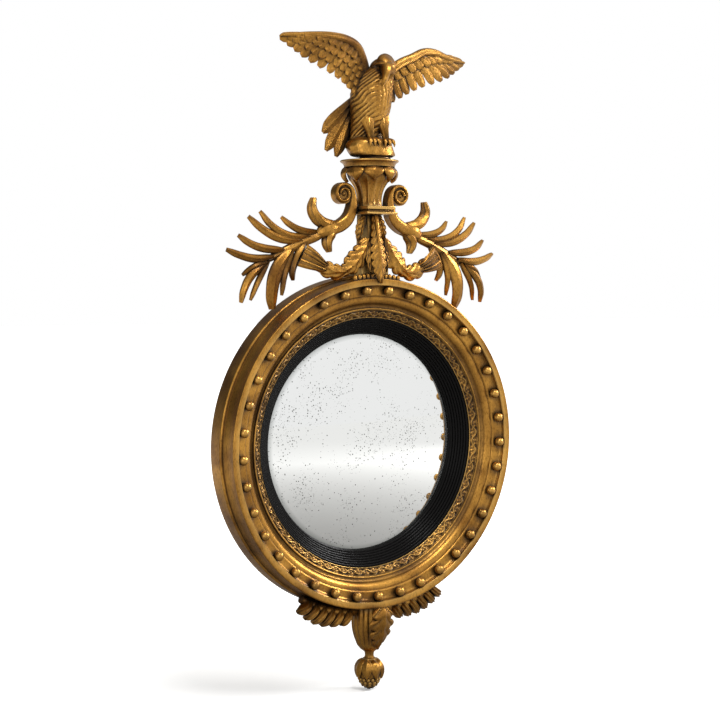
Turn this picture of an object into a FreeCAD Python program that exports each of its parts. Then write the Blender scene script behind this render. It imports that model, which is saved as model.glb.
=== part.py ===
import FreeCAD, Part
import math
import os

# Girandole mirror. The origin is on the glass's axis in the wall plane, -Y is the front and +Z is up.
# Lengths are in millimetres. A ring section is given as (radius, depth in front of the wall).

Vector = FreeCAD.Vector
ORIGIN = Vector(0, 0, 0)
GLASS_AXIS = Vector(0, 1, 0)
UP = Vector(0, 0, 1)
FRONT = Vector(0, -1, 0)
ALONG_X = Vector(1, 0, 0)
LEFT, RIGHT = -1, 1
SIDE_NAMES = {LEFT: "left", RIGHT: "right"}
TOUCH = 1e-6

# Driving dimensions of the frame
HOOP_R = 316.7          # pine hoop, the widest radius
HOOP_FRONT = 37.0       # depth of the hoop's front face
RIM_R = 310.0           # front moulding, outer radius at its front edge
RIM_DEPTH = 74.6        # front moulding, how far it stands off the wall
COVE_OUTER_R = 297.0
COVE_INNER_R = 276.6
COVE_LIP_DEPTH = 58.0
COVE_FLOOR_DEPTH = 61.4
BALL_COUNT = 37
BALL_R = 9.0
BALL_ROW_R = 287.6
BALL_DEPTH = 70.0
FIRST_BALL_ANGLE = 4.6  # degrees clockwise from the top, seen from the front
MOULDING_INNER_R = 252.0
CARVED_INNER_R = 237.0
SIGHT_R = 205.8
SIGHT_DEPTH = 12.05
REED_COUNT = 5
GLASS_R = 214.0
GLASS_THICK = 3.0
GLASS_SPHERE_R = 926.0
SLIP_R = 240.0
GLASS_BORE_R = 222.0
PANEL_R = 244.0
PANEL_THICK = 5.0
FIT = 0.2               # clearance of a piece let into wood

# Driving dimensions of the crest and the apron
COLUMN_Y = -39.0        # the axis of the crest and the pendant
WALL_GAP = 2.0          # carving stays this far in front of the wall
BLOCK_BOTTOM = 300.0
BLOCK_FRONT = -58.0
POST_HALF = 12.0        # the post above the block, half its width
TABLET_BOTTOM = 430.0
TABLET_TOP = 444.5
TABLET_MIDDLE_Y = -50.0
FLUTE_COUNT = 14        # flutes round the bell
FLUTE_R = 3.6
PETAL_COUNT = 8
ABACUS_R = 55.0
ABACUS_BOTTOM = 519.0
ABACUS_TOP = 531.5
SCROLL_X = 63.0
SCROLL_Z = 467.0
SCROLL_R = 21.0
SCROLL_FRONT = -53.0
SCROLL_BACK = -28.0
SCROLL_TURNS = 1.45
SCROLL_Y = (SCROLL_FRONT + SCROLL_BACK) / 2
ROCK_BOTTOM = 531.5
CUP_TOP = -300.0        # the cup under the hoop
CUP_BOTTOM = -396.0
CUP_REED_COUNT = 16
CUP_GROOVE_R = 3.4
LOBE_COUNT = 7          # gadroons on each side of the cup
BUD_TOP = -411.5
BUD_BOTTOM = -455.0
BUD_PETAL_COUNT = 6
BERRY_R = 4.2
BERRY_ROWS = ((9, 15.0, -457.5), (6, 9.0, -463.5), (1, 0.0, -467.0))   # count, row radius, height

# Driving dimensions of the eagle
EAGLE_Y = -57.5
LEG_X = {LEFT: -21.0, RIGHT: 12.0}
FEATHER_ROOTS = ((26, 692), (66, 716), (106, 735), (152, 733))
FEATHER_TIPS = ((36, 640), (86, 667), (156, 693), (206, 726))
# rows of feathers: count, how far towards the tip line they reach, half width, front, back
FEATHER_ROWS = ((9, 1.0, 9.5, 3.0, -3.0), (9, 0.62, 9.0, 6.6, 2.0), (8, 0.34, 8.5, 9.6, 5.0))
WING_PLAN = ((14, -56), (96, -74), (215, -52))
WING_EDGE = ((22, 690), (44, 716), (72, 731), (96, 745), (118, 746), (150, 738), (206, 729))
WING_EDGE_R = (10.0, 10.5, 9.0, 7.5, 5.5, 3.0)
WING_TILT = 4.5         # degrees by which the left wing is raised more than the right one
SHOULDER = Vector(-26, 0, 700)
TAIL_ROOT = Vector(-24, -26.5, 652)
TAIL_TIPS = ((-97, 578), (-96, 552), (-86, 538), (-70, 533), (-56, 541))
TAIL_FEATHER_HALF = 9.0

# Driving dimensions of the hangers, the plates and what pins the pieces together
HANGER_ANGLE = 40.0     # degrees from the top to each hanger
HANGER_ROW_R = 280.0
POCKET_DEPTH = 10.0
POCKET_HALF_WIDTH = 15.0
POCKET_UP = 20.0
POCKET_DOWN = 31.0
WIRE_R = 1.6
BARREL_R = 3.2
BARREL_CLEARANCE = 0.08
STRAP_HALF = 6.5
STRAP_THICK = 1.5
STRAP_LENGTH = 28.0
RING_HALF = 9.0
RING_DROP = 9.0
PLATE_HALF = 14.0
PLATE_THICK = 3.0
CREST_PLATE_Z = (284.0, 348.0)
APRON_PLATE_Z = (-346.0, -284.0)
PAD_COUNT = 12
PAD_ARC = 7.0           # degrees
PANEL_SCREW_COUNT = 8
PANEL_SCREW_ROW_R = 234.0
SCREW_R = 1.9
SCREW_HEAD_R = 3.8
SCREW_HEAD_HEIGHT = 2.2
SCREW_POINT_R = 0.4
SCREW_LENGTH = 15.0
PANEL_SCREW_LENGTH = 10.8
DOWELS = (               # centre y, lower end, upper end, radius
    (-52.0, 500.0, 552.0, 5.0),
    (-36.0, 404.0, 470.0, 5.0),
    (COLUMN_Y, -432.0, -376.0, 4.0),
)


# ---------------------------------------------------------------- outlines and solids

def ring_point(radius, depth):
    """A point of a section that is turned about the glass's axis."""
    return Vector(radius, -depth, 0)


def column_point(radius, height):
    """A point of a section that is turned about a vertical axis."""
    return Vector(radius, 0, height)


def outline(place, start, *steps):
    """A closed wire. A step is a corner, or a pair (through, end) for an arc."""
    edges, here = [], place(*start)
    for step in steps + (start,):
        if isinstance(step[0], tuple):
            end = place(*step[1])
            edges.append(Part.Arc(here, place(*step[0]), end).toShape())
        else:
            end = place(*step)
            if end.distanceToPoint(here) > TOUCH:
                edges.append(Part.LineSegment(here, end).toShape())
        here = end
    return Part.Wire(edges)


def turned_ring(start, *steps):
    """A ring whose section is turned about the glass's axis."""
    return Part.Face(outline(ring_point, start, *steps)).revolve(ORIGIN, GLASS_AXIS, 360)


def turned_post(y, start, *steps):
    """A post whose section is turned about the vertical line x = 0, y = y."""
    solid = Part.Face(outline(column_point, start, *steps)).revolve(ORIGIN, UP, 360)
    return solid.translated(Vector(0, y, 0))


def box(low, high):
    """A box between two corners."""
    low, high = Vector(*low), Vector(*high)
    size = high - low
    return Part.makeBox(size.x, size.y, size.z, low)


def behind_wall():
    """The space that nothing carved may enter: everything behind the wall clearance."""
    return box((-500, -WALL_GAP, -600), (500, 400, 900))


def joined(pieces):
    """One solid out of overlapping pieces."""
    pieces = list(pieces)
    solid = pieces[0].multiFuse(pieces[1:]) if len(pieces) > 1 else pieces[0]
    return solid.Solids[0] if len(solid.Solids) == 1 else solid


def mirrored(solid):
    """The same piece on the other side of the plane x = 0."""
    return solid.mirror(ORIGIN, ALONG_X)


def resampled(values, count):
    """Evenly spaced values on the smooth line through the given ones."""
    if len(values) == count:
        return list(values)
    curve = Part.BSplineCurve()
    points = [Vector(i, value, 0) for i, value in enumerate(values)]
    curve.interpolate(Points=points, Parameters=[float(i) for i in range(len(values))])
    last = len(values) - 1
    return [curve.value(last * i / (count - 1)).y for i in range(count)]


def spine_frames(spine, count):
    """Evenly spaced (place, direction) pairs along the smooth line through the spine's points."""
    curve = Part.BSplineCurve()
    curve.interpolate([Vector(*p) for p in spine])
    first, last = curve.FirstParameter, curve.LastParameter
    steps = [first + (last - first) * i / (count - 1) for i in range(count)]
    return [(curve.value(t), curve.tangent(t)[0]) for t in steps]


def skinned(rings):
    """A closed solid of flat facets stretched over rings that have the same number of points."""
    faces = [Part.Face(Part.makePolygon(ring + ring[:1])) for ring in (rings[0], rings[-1])]
    for ring, after in zip(rings, rings[1:]):
        for i in range(len(ring)):
            k = (i + 1) % len(ring)
            for corners in ((ring[i], ring[k], after[k]), (ring[i], after[k], after[i])):
                faces.append(Part.Face(Part.makePolygon(list(corners) + [corners[0]])))
    shell = Part.makeCompound(faces)
    shell.sewShape()
    solid = Part.makeSolid(shell.Shells[0])
    if solid.Volume < 0:
        solid.reverse()
    return solid


# A leaf's section from edge to edge, over the ridge in front and back along the rear face
LEAF_SECTION = (
    (-1.00, 0.0), (-0.60, 0.70), (0.0, 1.0), (0.60, 0.70),
    (1.00, 0.0), (0.60, -0.70), (0.0, -1.0), (-0.60, -0.70),
)


def blade(spine, widths, thick, side=None, cup=0.0, stations=7):
    """A tapering leaf blade along a spine. widths holds the half widths, evenly spaced along it.

    The blade lies square to the front unless side names the direction of its width. A cup above 0
    hollows its back.
    """
    half_widths = resampled(widths, stations)
    widest = max(half_widths)
    rings = []
    for (centre, along), half_width in zip(spine_frames(spine, stations), half_widths):
        across = side if side else along.cross(FRONT).normalize()
        face = across.cross(along).normalize()
        half_thick = thick * (0.45 + 0.55 * half_width / widest)
        rings.append([
            centre + across * (half_width * u) + face * (half_thick * (v + (cup if v < 0 else 0.0)))
            for u, v in LEAF_SECTION
        ])
    return skinned(rings)


def lobed_leaf(spine, widths, thick, lobe_length, lobe_pairs, sides=(-1, 1), lean=38.0):
    """An acanthus leaf: a blade with pairs of pointed lobes that lean towards its tip."""
    curve = Part.BSplineCurve()
    curve.interpolate([Vector(*p) for p in spine])
    first, last = curve.FirstParameter, curve.LastParameter
    pieces = [blade(spine, widths, thick)]
    for i in range(lobe_pairs):
        t = first + (last - first) * (0.12 + 0.70 * i / max(lobe_pairs - 1, 1))
        root, along = curve.value(t), curve.tangent(t)[0]
        across = along.cross(FRONT).normalize()
        reach = lobe_length * (0.65 + 0.35 * math.sin(math.pi * (i + 0.6) / lobe_pairs))
        for hand in sides:
            slant = math.radians(lean)
            heading = across * (hand * math.cos(slant)) + along * math.sin(slant)
            bend = root + heading * (reach * 0.55) + FRONT * (thick * 0.3)
            tip = root + heading * reach + along * (reach * 0.28)
            lobe = (tuple(root), tuple(bend), tuple(tip))
            width = lobe_length * 0.27
            pieces.append(blade(lobe, (width * 0.8, width, width * 0.25), thick * 0.8, stations=4))
    return joined(pieces)


def bead(radius, heights, sides):
    """A faceted ball round the origin; heights are the levels of its rings, as shares of the radius."""
    rings = []
    for level, height in enumerate(heights):
        ring_r = radius * math.sqrt(1 - height ** 2)
        angles = [2 * math.pi * (k + 0.5 * (level % 2)) / sides for k in range(sides)]
        rings.append([
            Vector(ring_r * math.cos(a), -radius * height, ring_r * math.sin(a)) for a in angles
        ])
    return skinned(rings)


# ---------------------------------------------------------------- the round frame

def glass_front(radius):
    """Depth of the convex glass's front face at a radius."""
    apex = SIGHT_DEPTH + GLASS_SPHERE_R - math.sqrt(GLASS_SPHERE_R ** 2 - SIGHT_R ** 2)
    return apex - GLASS_SPHERE_R + math.sqrt(GLASS_SPHERE_R ** 2 - radius ** 2)


def frame_hoop():
    """Turned pine hoop with the slip's seat in front and the back panel's rebate behind."""
    return turned_ring(
        (PANEL_R + FIT, 0), (HOOP_R - 0.6, 0), (HOOP_R, 1.5), ((HOOP_R + 0.5, 17), (HOOP_R, 32.5)),
        ((HOOP_R - 0.9, 35.8), (312.4, HOOP_FRONT)),
        (SLIP_R + FIT, HOOP_FRONT), (SLIP_R + FIT, SIGHT_DEPTH), (GLASS_BORE_R, SIGHT_DEPTH),
        (GLASS_BORE_R, PANEL_THICK), (PANEL_R + FIT, PANEL_THICK),
    )


def front_moulding():
    """The turned front: a flat fillet, the cove that holds the balls, an ogee and a bead."""
    return turned_ring(
        (MOULDING_INNER_R, HOOP_FRONT), (311.4, HOOP_FRONT), (311.4, 40.0),
        ((308.6, 56.0), (RIM_R, 71.6)), ((RIM_R - 0.6, 74.0), (RIM_R - 2.6, RIM_DEPTH)),
        (COVE_OUTER_R + 1.2, RIM_DEPTH - 1.0), (COVE_OUTER_R, RIM_DEPTH - 2.6),
        ((294.9, 64.1), (290.6, COVE_FLOOR_DEPTH)), (281.4, COVE_FLOOR_DEPTH),
        ((278.6, 60.6), (COVE_INNER_R, COVE_LIP_DEPTH)),
        ((271.2, 57.4), (263.6, 51.4)), ((259.8, 47.4), (256.2, 46.6)), (255.6, 49.0),
        ((MOULDING_INNER_R + 1.8, 50.8), (MOULDING_INNER_R, 49.0)),
    )


def cove_balls():
    """Turned balls in the cove, each with a small flat where it is glued to the floor."""
    seat = (COVE_FLOOR_DEPTH - BALL_DEPTH) / BALL_R
    ball = bead(BALL_R, (seat, -0.62, 0.0, 0.62, 0.93), 12).translated(FRONT * BALL_DEPTH)
    balls = []
    for i in range(BALL_COUNT):
        angle = math.radians(FIRST_BALL_ANGLE + 360.0 * i / BALL_COUNT)
        place = Vector(BALL_ROW_R * math.sin(angle), 0, BALL_ROW_R * math.cos(angle))
        balls.append(ball.translated(place))
    return Part.makeCompound(balls)


def carved_ring():
    """The sloping band of carved leaves inside the ogee."""
    return turned_ring(
        (CARVED_INNER_R, HOOP_FRONT), (MOULDING_INNER_R - 0.1, HOOP_FRONT),
        (MOULDING_INNER_R - 0.1, 48.0), ((245.6, 46.4), (238.6, 40.6)),
        ((237.4, 40.0), (CARVED_INNER_R, 38.6)),
    )


def reeded_slip():
    """The ebonised slip: concentric reeds that step down to the glass."""
    outer, inner = (CARVED_INNER_R - 1.0, HOOP_FRONT), (SIGHT_R + 1.4, SIGHT_DEPTH + 2.2)
    steps = []
    for i in range(REED_COUNT):
        here = [(outer[k] + (inner[k] - outer[k]) * i / REED_COUNT) for k in (0, 1)]
        there = [(outer[k] + (inner[k] - outer[k]) * (i + 1) / REED_COUNT) for k in (0, 1)]
        crown = ((here[0] + there[0]) / 2 - 0.9, (here[1] + there[1]) / 2 + 1.1)
        steps.append((crown, tuple(there)))
    return turned_ring(
        (SIGHT_R, SIGHT_DEPTH), (SLIP_R, SIGHT_DEPTH), (SLIP_R, HOOP_FRONT), outer, *steps,
        (SIGHT_R, SIGHT_DEPTH + 1.4),
    )


def mirror_glass():
    """A convex sheet of even thickness, silvered on its back."""
    half = GLASS_R / 2
    return turned_ring(
        (0, glass_front(0)), ((half, glass_front(half)), (GLASS_R, glass_front(GLASS_R))),
        (GLASS_R, glass_front(GLASS_R) - GLASS_THICK),
        ((half, glass_front(half) - GLASS_THICK), (0, glass_front(0) - GLASS_THICK)),
    )


def glass_pads():
    """Cork pads that press the rim of the glass forwards against the slip."""
    inner, outer = GLASS_R - 11.0, GLASS_R - 1.0
    section = outline(
        ring_point, (inner, PANEL_THICK), (outer, PANEL_THICK),
        (outer, glass_front(outer) - GLASS_THICK), (inner, glass_front(inner) - GLASS_THICK),
    )
    pad = Part.Face(section).revolve(ORIGIN, GLASS_AXIS, PAD_ARC)
    turns = [360.0 * i / PAD_COUNT for i in range(PAD_COUNT)]
    return Part.makeCompound([pad.rotated(ORIGIN, GLASS_AXIS, turn) for turn in turns])


def back_panel():
    """The round pine back, flush with the hoop's rear face, with its screw holes."""
    panel = Part.makeCylinder(PANEL_R, PANEL_THICK, ORIGIN, FRONT)
    return cut_each(panel, panel_screws())


def cut_each(solid, cutters):
    """The solid less each cutter."""
    return solid.cut(Part.makeCompound(list(cutters)))


def wood_screw(x, z, depth=0.0, length=SCREW_LENGTH):
    """A countersunk screw, driven forwards, whose head is flush with the given depth."""
    point = 2 * SCREW_R
    shank = length - SCREW_HEAD_HEIGHT - point
    head = Part.makeCone(SCREW_HEAD_R, SCREW_R, SCREW_HEAD_HEIGHT, Vector(x, -depth, z), FRONT)
    stem = Part.makeCylinder(SCREW_R, shank, Vector(x, -depth - SCREW_HEAD_HEIGHT, z), FRONT)
    tip = Part.makeCone(SCREW_R, SCREW_POINT_R, point, Vector(x, -depth - length + point, z), FRONT)
    return joined((head, stem, tip))


def panel_screws():
    """Short screws through the panel's edge into the hoop's ledge."""
    angles = [2 * math.pi * (i + 0.5) / PANEL_SCREW_COUNT for i in range(PANEL_SCREW_COUNT)]
    places = [(PANEL_SCREW_ROW_R * math.sin(a), PANEL_SCREW_ROW_R * math.cos(a)) for a in angles]
    return [wood_screw(x, z, 0.0, PANEL_SCREW_LENGTH) for x, z in places]


# ---------------------------------------------------------------- hanging hardware

def hanger_centre(side):
    """Where a hanger's barrel axis is, in the pocket of the hoop's back."""
    angle = math.radians(HANGER_ANGLE)
    x, z = side * HANGER_ROW_R * math.sin(angle), HANGER_ROW_R * math.cos(angle) + 5.0
    return Vector(x, -(POCKET_DEPTH - BARREL_R), z)


def hanger_pocket(side):
    """The recess that lets the hanger lie below the hoop's rear face."""
    c = hanger_centre(side)
    return box(
        (c.x - POCKET_HALF_WIDTH, -POCKET_DEPTH, c.z - POCKET_DOWN),
        (c.x + POCKET_HALF_WIDTH, 1, c.z + POCKET_UP),
    )


def hanger_strap(side):
    """A strip folded round the ring's bar, with two screw holes in its tail."""
    c = hanger_centre(side)
    barrel = Part.makeCylinder(BARREL_R, 2 * STRAP_HALF, c - ALONG_X * STRAP_HALF, ALONG_X)
    tail = box(
        (c.x - STRAP_HALF, -POCKET_DEPTH, c.z - STRAP_LENGTH),
        (c.x + STRAP_HALF, -POCKET_DEPTH + STRAP_THICK, c.z),
    )
    bore_r = WIRE_R + BARREL_CLEARANCE
    bore = Part.makeCylinder(bore_r, 4 * STRAP_HALF, c - ALONG_X * (2 * STRAP_HALF), ALONG_X)
    return cut_each(joined((barrel, tail)).cut(bore), hanger_screws_at(side))


def hanger_screws_at(side):
    """Two flat-headed screws that hold the strap's tail to the pocket's floor."""
    c = hanger_centre(side)
    floor = POCKET_DEPTH - STRAP_THICK
    return [wood_screw(c.x, c.z - drop, floor) for drop in (10.5, 21.5)]


def hanger_ring(side):
    """A D-shaped wire ring whose straight bar turns in the strap's barrel."""
    foot = Vector(0, 0, -RING_DROP)
    bar = Part.makeCylinder(WIRE_R, 2 * RING_HALF, ALONG_X * -RING_HALF, ALONG_X)
    bow = Part.makeTorus(RING_HALF, WIRE_R, foot, FRONT)
    bow = bow.cut(box((-20, -5, -RING_DROP), (20, 5, 20)))
    pieces = [bar, bow]
    for end in (-RING_HALF, RING_HALF):
        pieces.append(Part.makeSphere(WIRE_R, ALONG_X * end))
        pieces.append(Part.makeCylinder(WIRE_R, RING_DROP, Vector(end, 0, -RING_DROP), UP))
    return joined(pieces).translated(hanger_centre(side))


# ---------------------------------------------------------------- mending plates at the back

def mending_plate(z_range):
    """A flat steel plate, let in flush, that ties an ornament to the hoop."""
    low, high = z_range
    plate = box((-PLATE_HALF, -PLATE_THICK, low), (PLATE_HALF, 0, high))
    corners = [e for e in plate.Edges if abs(e.tangentAt(e.FirstParameter).y) > 0.9]
    return cut_each(plate.makeFillet(3.0, corners), plate_screws(z_range))


def plate_pocket(z_range):
    """The recess for a mending plate."""
    return box((-PLATE_HALF, -PLATE_THICK, z_range[0]), (PLATE_HALF, 1, z_range[1]))


def plate_screws(z_range):
    """Two screws in each half of a mending plate."""
    low, high = z_range
    inset = 9.0
    rows = (low + inset, low + 2.6 * inset, high - 2.6 * inset, high - inset)
    return [wood_screw(0, z) for z in rows]


# ---------------------------------------------------------------- the crest's column

def prism(place, depth_vector, start, *steps):
    """An outline extruded along a vector."""
    return Part.Face(outline(place, start, *steps)).extrude(depth_vector)


def front_point(x, z):
    """A point of an outline seen from the front."""
    return Vector(x, 0, z)


def side_point(y, z):
    """A point of an outline seen from the side."""
    return Vector(0, y, z)


def crest_block():
    """The block and tapered post behind the leaves that stand on the hoop."""
    seen_front = prism(
        front_point, Vector(0, -90, 0),
        (-30, BLOCK_BOTTOM), (30, BLOCK_BOTTOM), (30, 343), ((27, 358), (POST_HALF + 1, 368)),
        (POST_HALF, TABLET_BOTTOM), (-POST_HALF, TABLET_BOTTOM), (-POST_HALF - 1, 368),
        ((-27, 358), (-30, 343)),
    )
    seen_side = prism(
        side_point, Vector(80, 0, 0),
        (0, BLOCK_BOTTOM), (0, 350), (-14, 366), (-14, TABLET_BOTTOM), (-50, TABLET_BOTTOM),
        (-57, 387), (BLOCK_FRONT, 345), (BLOCK_FRONT, BLOCK_BOTTOM),
    )
    return seen_front.common(seen_side.translated(Vector(-40, 0, 0)))


def tablet_layer(half, z, low_y, high_y):
    """A rectangle of the tablet's moulding at one height."""
    corners = [(-half, low_y), (half, low_y), (half, high_y), (-half, high_y), (-half, low_y)]
    return Part.makePolygon([Vector(x, y, z) for x, y in corners])


def crest_tablet():
    """The square moulded tablet under the capital: two fillets with a hollow between them."""
    levels = (
        (34.0, TABLET_BOTTOM), (34.0, 433.5), (28.5, 435.5), (28.5, 437.5),
        (31.0, 439.0), (31.0, TABLET_TOP),
    )
    slabs = []
    for (half, z), (next_half, next_z) in zip(levels, levels[1:]):
        wires = [
            tablet_layer(h, level, TABLET_MIDDLE_Y - h, -WALL_GAP) for h, level in ((half, z), (next_half, next_z))
        ]
        slabs.append(Part.makeLoft(wires, True, True))
    return joined(slabs)


def capital_bell():
    """The fluted bell of the capital."""
    bell = turned_post(
        COLUMN_Y, (0, TABLET_TOP), (24.0, TABLET_TOP), (24.0, 448.0),
        ((25.5, 472.0), (38.0, 497.0)), (43.0, ABACUS_BOTTOM), (0, ABACUS_BOTTOM),
    )
    flutes = []
    for i in range(FLUTE_COUNT):
        angle = 360.0 * (i + 0.5) / FLUTE_COUNT
        flute = blade(
            ((26.2, 0, 447), (26.4, 0, 460), (29.5, 0, 478), (37.0, 0, 493)),
            (FLUTE_R * 0.8, FLUTE_R, FLUTE_R * 1.2, FLUTE_R * 0.8), FLUTE_R * 0.75, side=GLASS_AXIS,
        )
        flutes.append(flute.rotated(ORIGIN, UP, angle).translated(Vector(0, COLUMN_Y, 0)))
    return cut_each(bell, flutes + [behind_wall()])


def capital_petals():
    """Lotus petals that hang from the abacus and curl in at their points."""
    petals = []
    for i in range(PETAL_COUNT):
        petal = blade(
            ((42, 0, ABACUS_BOTTOM - 0.5), (49.5, 0, 513), (50.5, 0, 503), (42, 0, 491)),
            (17.8, 21.2, 14.5, 2.5), 3.4, side=GLASS_AXIS,
        )
        angle = 360.0 * (i + 0.5) / PETAL_COUNT
        petals.append(petal.rotated(ORIGIN, UP, angle).translated(Vector(0, COLUMN_Y, 0)))
    return joined(petals).cut(behind_wall())


def abacus():
    """The round abacus with its hollowed edge, cut flat behind."""
    disc = turned_post(
        COLUMN_Y, (0, ABACUS_BOTTOM), (ABACUS_R - 7.0, ABACUS_BOTTOM),
        ((49.6, 524.6), (ABACUS_R - 0.8, 528.4)), (ABACUS_R, 529.0), (ABACUS_R, ABACUS_TOP),
        (0, ABACUS_TOP),
    )
    return disc.cut(behind_wall())


# ---------------------------------------------------------------- scrolls, husks and sprays

def spiral_band(turns, steps_per_turn, outer_r, inner_r, thick):
    """The plan of a volute: a band that starts at -X, goes over the top and winds in."""
    count = int(turns * steps_per_turn)
    outside, inside = [], []
    for i in range(count + 1):
        share = i / count
        angle = 2 * math.pi * turns * share
        radius = outer_r * (inner_r / outer_r) ** share
        band = thick * (1 - 0.35 * share)
        for points, r in ((outside, radius), (inside, radius - band)):
            points.append(Vector(-r * math.cos(angle), 0, r * math.sin(angle)))
    outer_curve, inner_curve = Part.BSplineCurve(), Part.BSplineCurve()
    outer_curve.interpolate(outside)
    inner_curve.interpolate(inside)
    edges = [outer_curve.toShape(), inner_curve.toShape()]
    edges += [Part.LineSegment(outside[i], inside[i]).toShape() for i in (0, -1)]
    return Part.Face(Part.Wire(Part.__sortEdges__(edges)))


def scroll_right():
    """The right volute and the stem that sweeps down and out from it."""
    depth = SCROLL_BACK - SCROLL_FRONT
    band = spiral_band(SCROLL_TURNS, 16, SCROLL_R, 8.5, 5.5).extrude(GLASS_AXIS * depth)
    web = Part.makeCylinder(SCROLL_R - 2.0, depth - 8.0, Vector(0, 4.0, 0), GLASS_AXIS)
    eye = Part.makeCylinder(6.4, depth - 1.0, Vector(0, 0.5, 0), GLASS_AXIS)
    place = Vector(SCROLL_X, SCROLL_FRONT, SCROLL_Z)
    volute = [piece.translated(place) for piece in (band, web, eye)]
    stem = blade(
        [(x, SCROLL_Y, z) for x, z in ((49, 474), (40, 447), (48, 424), (66, 409), (88, 402))],
        (11.5, 12.0, 12.5, 12.5, 12.0), 11.0, side=GLASS_AXIS,
    )
    return joined(volute + [stem])


def husk_piece(spine, widths, thick):
    """A blade of the husk that stands edge-on to the front; its spine is seen from the front."""
    return blade([(x, SCROLL_Y, z) for x, z in spine], widths, thick, side=GLASS_AXIS)


def husk_right():
    """The fluted calyx at the stem's end: a flaring cup with an upper and a lower horn."""
    cup = husk_piece(((72, 407), (86, 403), (99, 399), (108, 396)), (13.5, 16.5, 19.0, 20.5), 15.0)
    upper_horn = husk_piece(
        ((78, 410), (98, 411), (117, 421), (127, 438), (124, 457)), (13.0, 16.5, 15.5, 13.0, 8.0), 5.5,
    )
    lower_horn = husk_piece(((76, 401), (88, 391), (95, 377), (90, 360)), (12.5, 15.0, 13.0, 6.0), 5.0)
    mouth = husk_piece(((97, 399.5), (108, 396), (122, 391)), (11.0, 14.5, 18.0), 9.5)
    return joined((cup, upper_horn, lower_horn)).cut(mouth)


# The spray's blades, seen from the front: root, middle points and tip, then the half width.
SPRAY_STEM = ((96, 399), (114, 388), (142, 378), (171, 364), (205, 349), (232, 333))
SPRAY_BLADES = (
    (((108, 395), (146, 397), (171, 408), (186, 422)), 6.0),
    (((130, 387), (176, 388), (210, 406), (230, 431)), 6.5),
    (((148, 379), (195, 383), (229, 399), (254, 421)), 7.0),
    (((186, 362), (228, 364), (253, 372), (275, 387)), 6.5),
    (((208, 349), (245, 345), (275, 351), (299, 361)), 6.5),
    (((221, 338), (246, 331), (267, 315)), 5.0),
    (((222, 340), (254, 313), (266, 290), (269, 266)), 7.0),
    (((216, 342), (240, 301), (250, 270)), 5.0),
    (((172, 361), (201, 322), (209, 284), (205, 254)), 12.0),
    (((166, 362), (183, 318), (185, 279)), 5.5),
    (((140, 376), (160, 344), (166, 324), (161, 307)), 7.0),
)
SPRAY_TIP_Y = -30.0


def spray_right():
    """A branch of long curved blades that grows out of the husk."""
    stem_points = [
        (x, SCROLL_Y + (SPRAY_TIP_Y - SCROLL_Y) * i / (len(SPRAY_STEM) - 1), z)
        for i, (x, z) in enumerate(SPRAY_STEM)
    ]
    pieces = [blade(stem_points, (6.5, 9.0, 10.0, 9.0, 7.0, 4.0), 6.5)]
    for points, half_width in SPRAY_BLADES:
        last = len(points) - 1
        spine = []
        for i, (x, z) in enumerate(points):
            lift = 5.0 * math.sin(math.pi * i / last)
            spine.append((x, SCROLL_Y + 4 + (SPRAY_TIP_Y - SCROLL_Y - 4) * i / last - lift, z))
        widths = [half_width * share for share in (0.62, 0.95, 1.0, 0.78, 0.3)]
        pieces.append(blade(spine, widths, 4.4, cup=0.35))
    return joined(pieces)


# ---------------------------------------------------------------- leaves round the block

def swag_right():
    """The acanthus arm that lies on the hoop and curls up at its end."""
    return lobed_leaf(
        ((20, -58, 376), (45, -56, 345), (74, -52, 321), (108, -48, 328), (136, -44, 349), (152, -42, 356)),
        (9.0, 13.0, 15.0, 15.0, 12.0, 5.0), 9.0, 17.0, 6,
    )


def drop_leaf_centre():
    """The long acanthus leaf that hangs from the tablet over the rim."""
    return lobed_leaf(
        ((0, -55, 431), (0, -61.5, 388), (0, -70.5, 343), (0, -78.6, 302)),
        (6.0, 9.0, 11.0, 10.0, 2.5), 6.0, 12.0, 5,
    )


def drop_leaf_right():
    """The pair of narrow leaves that hang beside the post."""
    upper = blade(((15, -44, 430), (24, -42, 408), (30, -42, 380)), (5.0, 9.0, 8.0, 2.5), 5.0)
    lower = blade(((15, -58, 384), (18, -64, 352), (18, -69, 322)), (5.0, 8.0, 7.0, 2.0), 4.5)
    return joined((upper, lower))


def foot_reeds():
    """A row of short upright reeds along the hoop, in front of the block."""
    reed_r, step, spread = 4.4, 1.75, 5
    y = BLOCK_FRONT - reed_r - 1.0
    rail = Part.Face(outline(
        ring_point, (307, -BLOCK_FRONT), (317, -BLOCK_FRONT), (317, -y), (307, -y),
    )).revolve(ORIGIN, GLASS_AXIS, 2 * step * (spread + 0.4))
    rail = rail.rotated(ORIGIN, GLASS_AXIS, -90 - step * (spread + 0.4))
    pieces = [rail]
    for i in range(-spread, spread + 1):
        reed = Part.makeCylinder(reed_r, 14, Vector(0, y, 307), UP)
        reed = reed.fuse(Part.makeSphere(reed_r, Vector(0, y, 321)))
        pieces.append(reed.rotated(ORIGIN, GLASS_AXIS, step * i))
    return joined(pieces)


# ---------------------------------------------------------------- the eagle

def limb(spine, radii, squash=1.0, stations=7, sides=10):
    """A round tapering limb; squash scales its size across the reference direction."""
    heading = (Vector(*spine[-1]) - Vector(*spine[0])).normalize()
    reference = FRONT if abs(heading.dot(FRONT)) < 0.7 else UP
    rings = []
    for (centre, along), radius in zip(spine_frames(spine, stations), resampled(radii, stations)):
        across = along.cross(reference).normalize()
        face = across.cross(along).normalize()
        angles = [2 * math.pi * k / sides for k in range(sides)]
        rings.append([
            centre + across * (radius * math.cos(a)) + face * (radius * squash * math.sin(a))
            for a in angles
        ])
    return skinned(rings)


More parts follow.
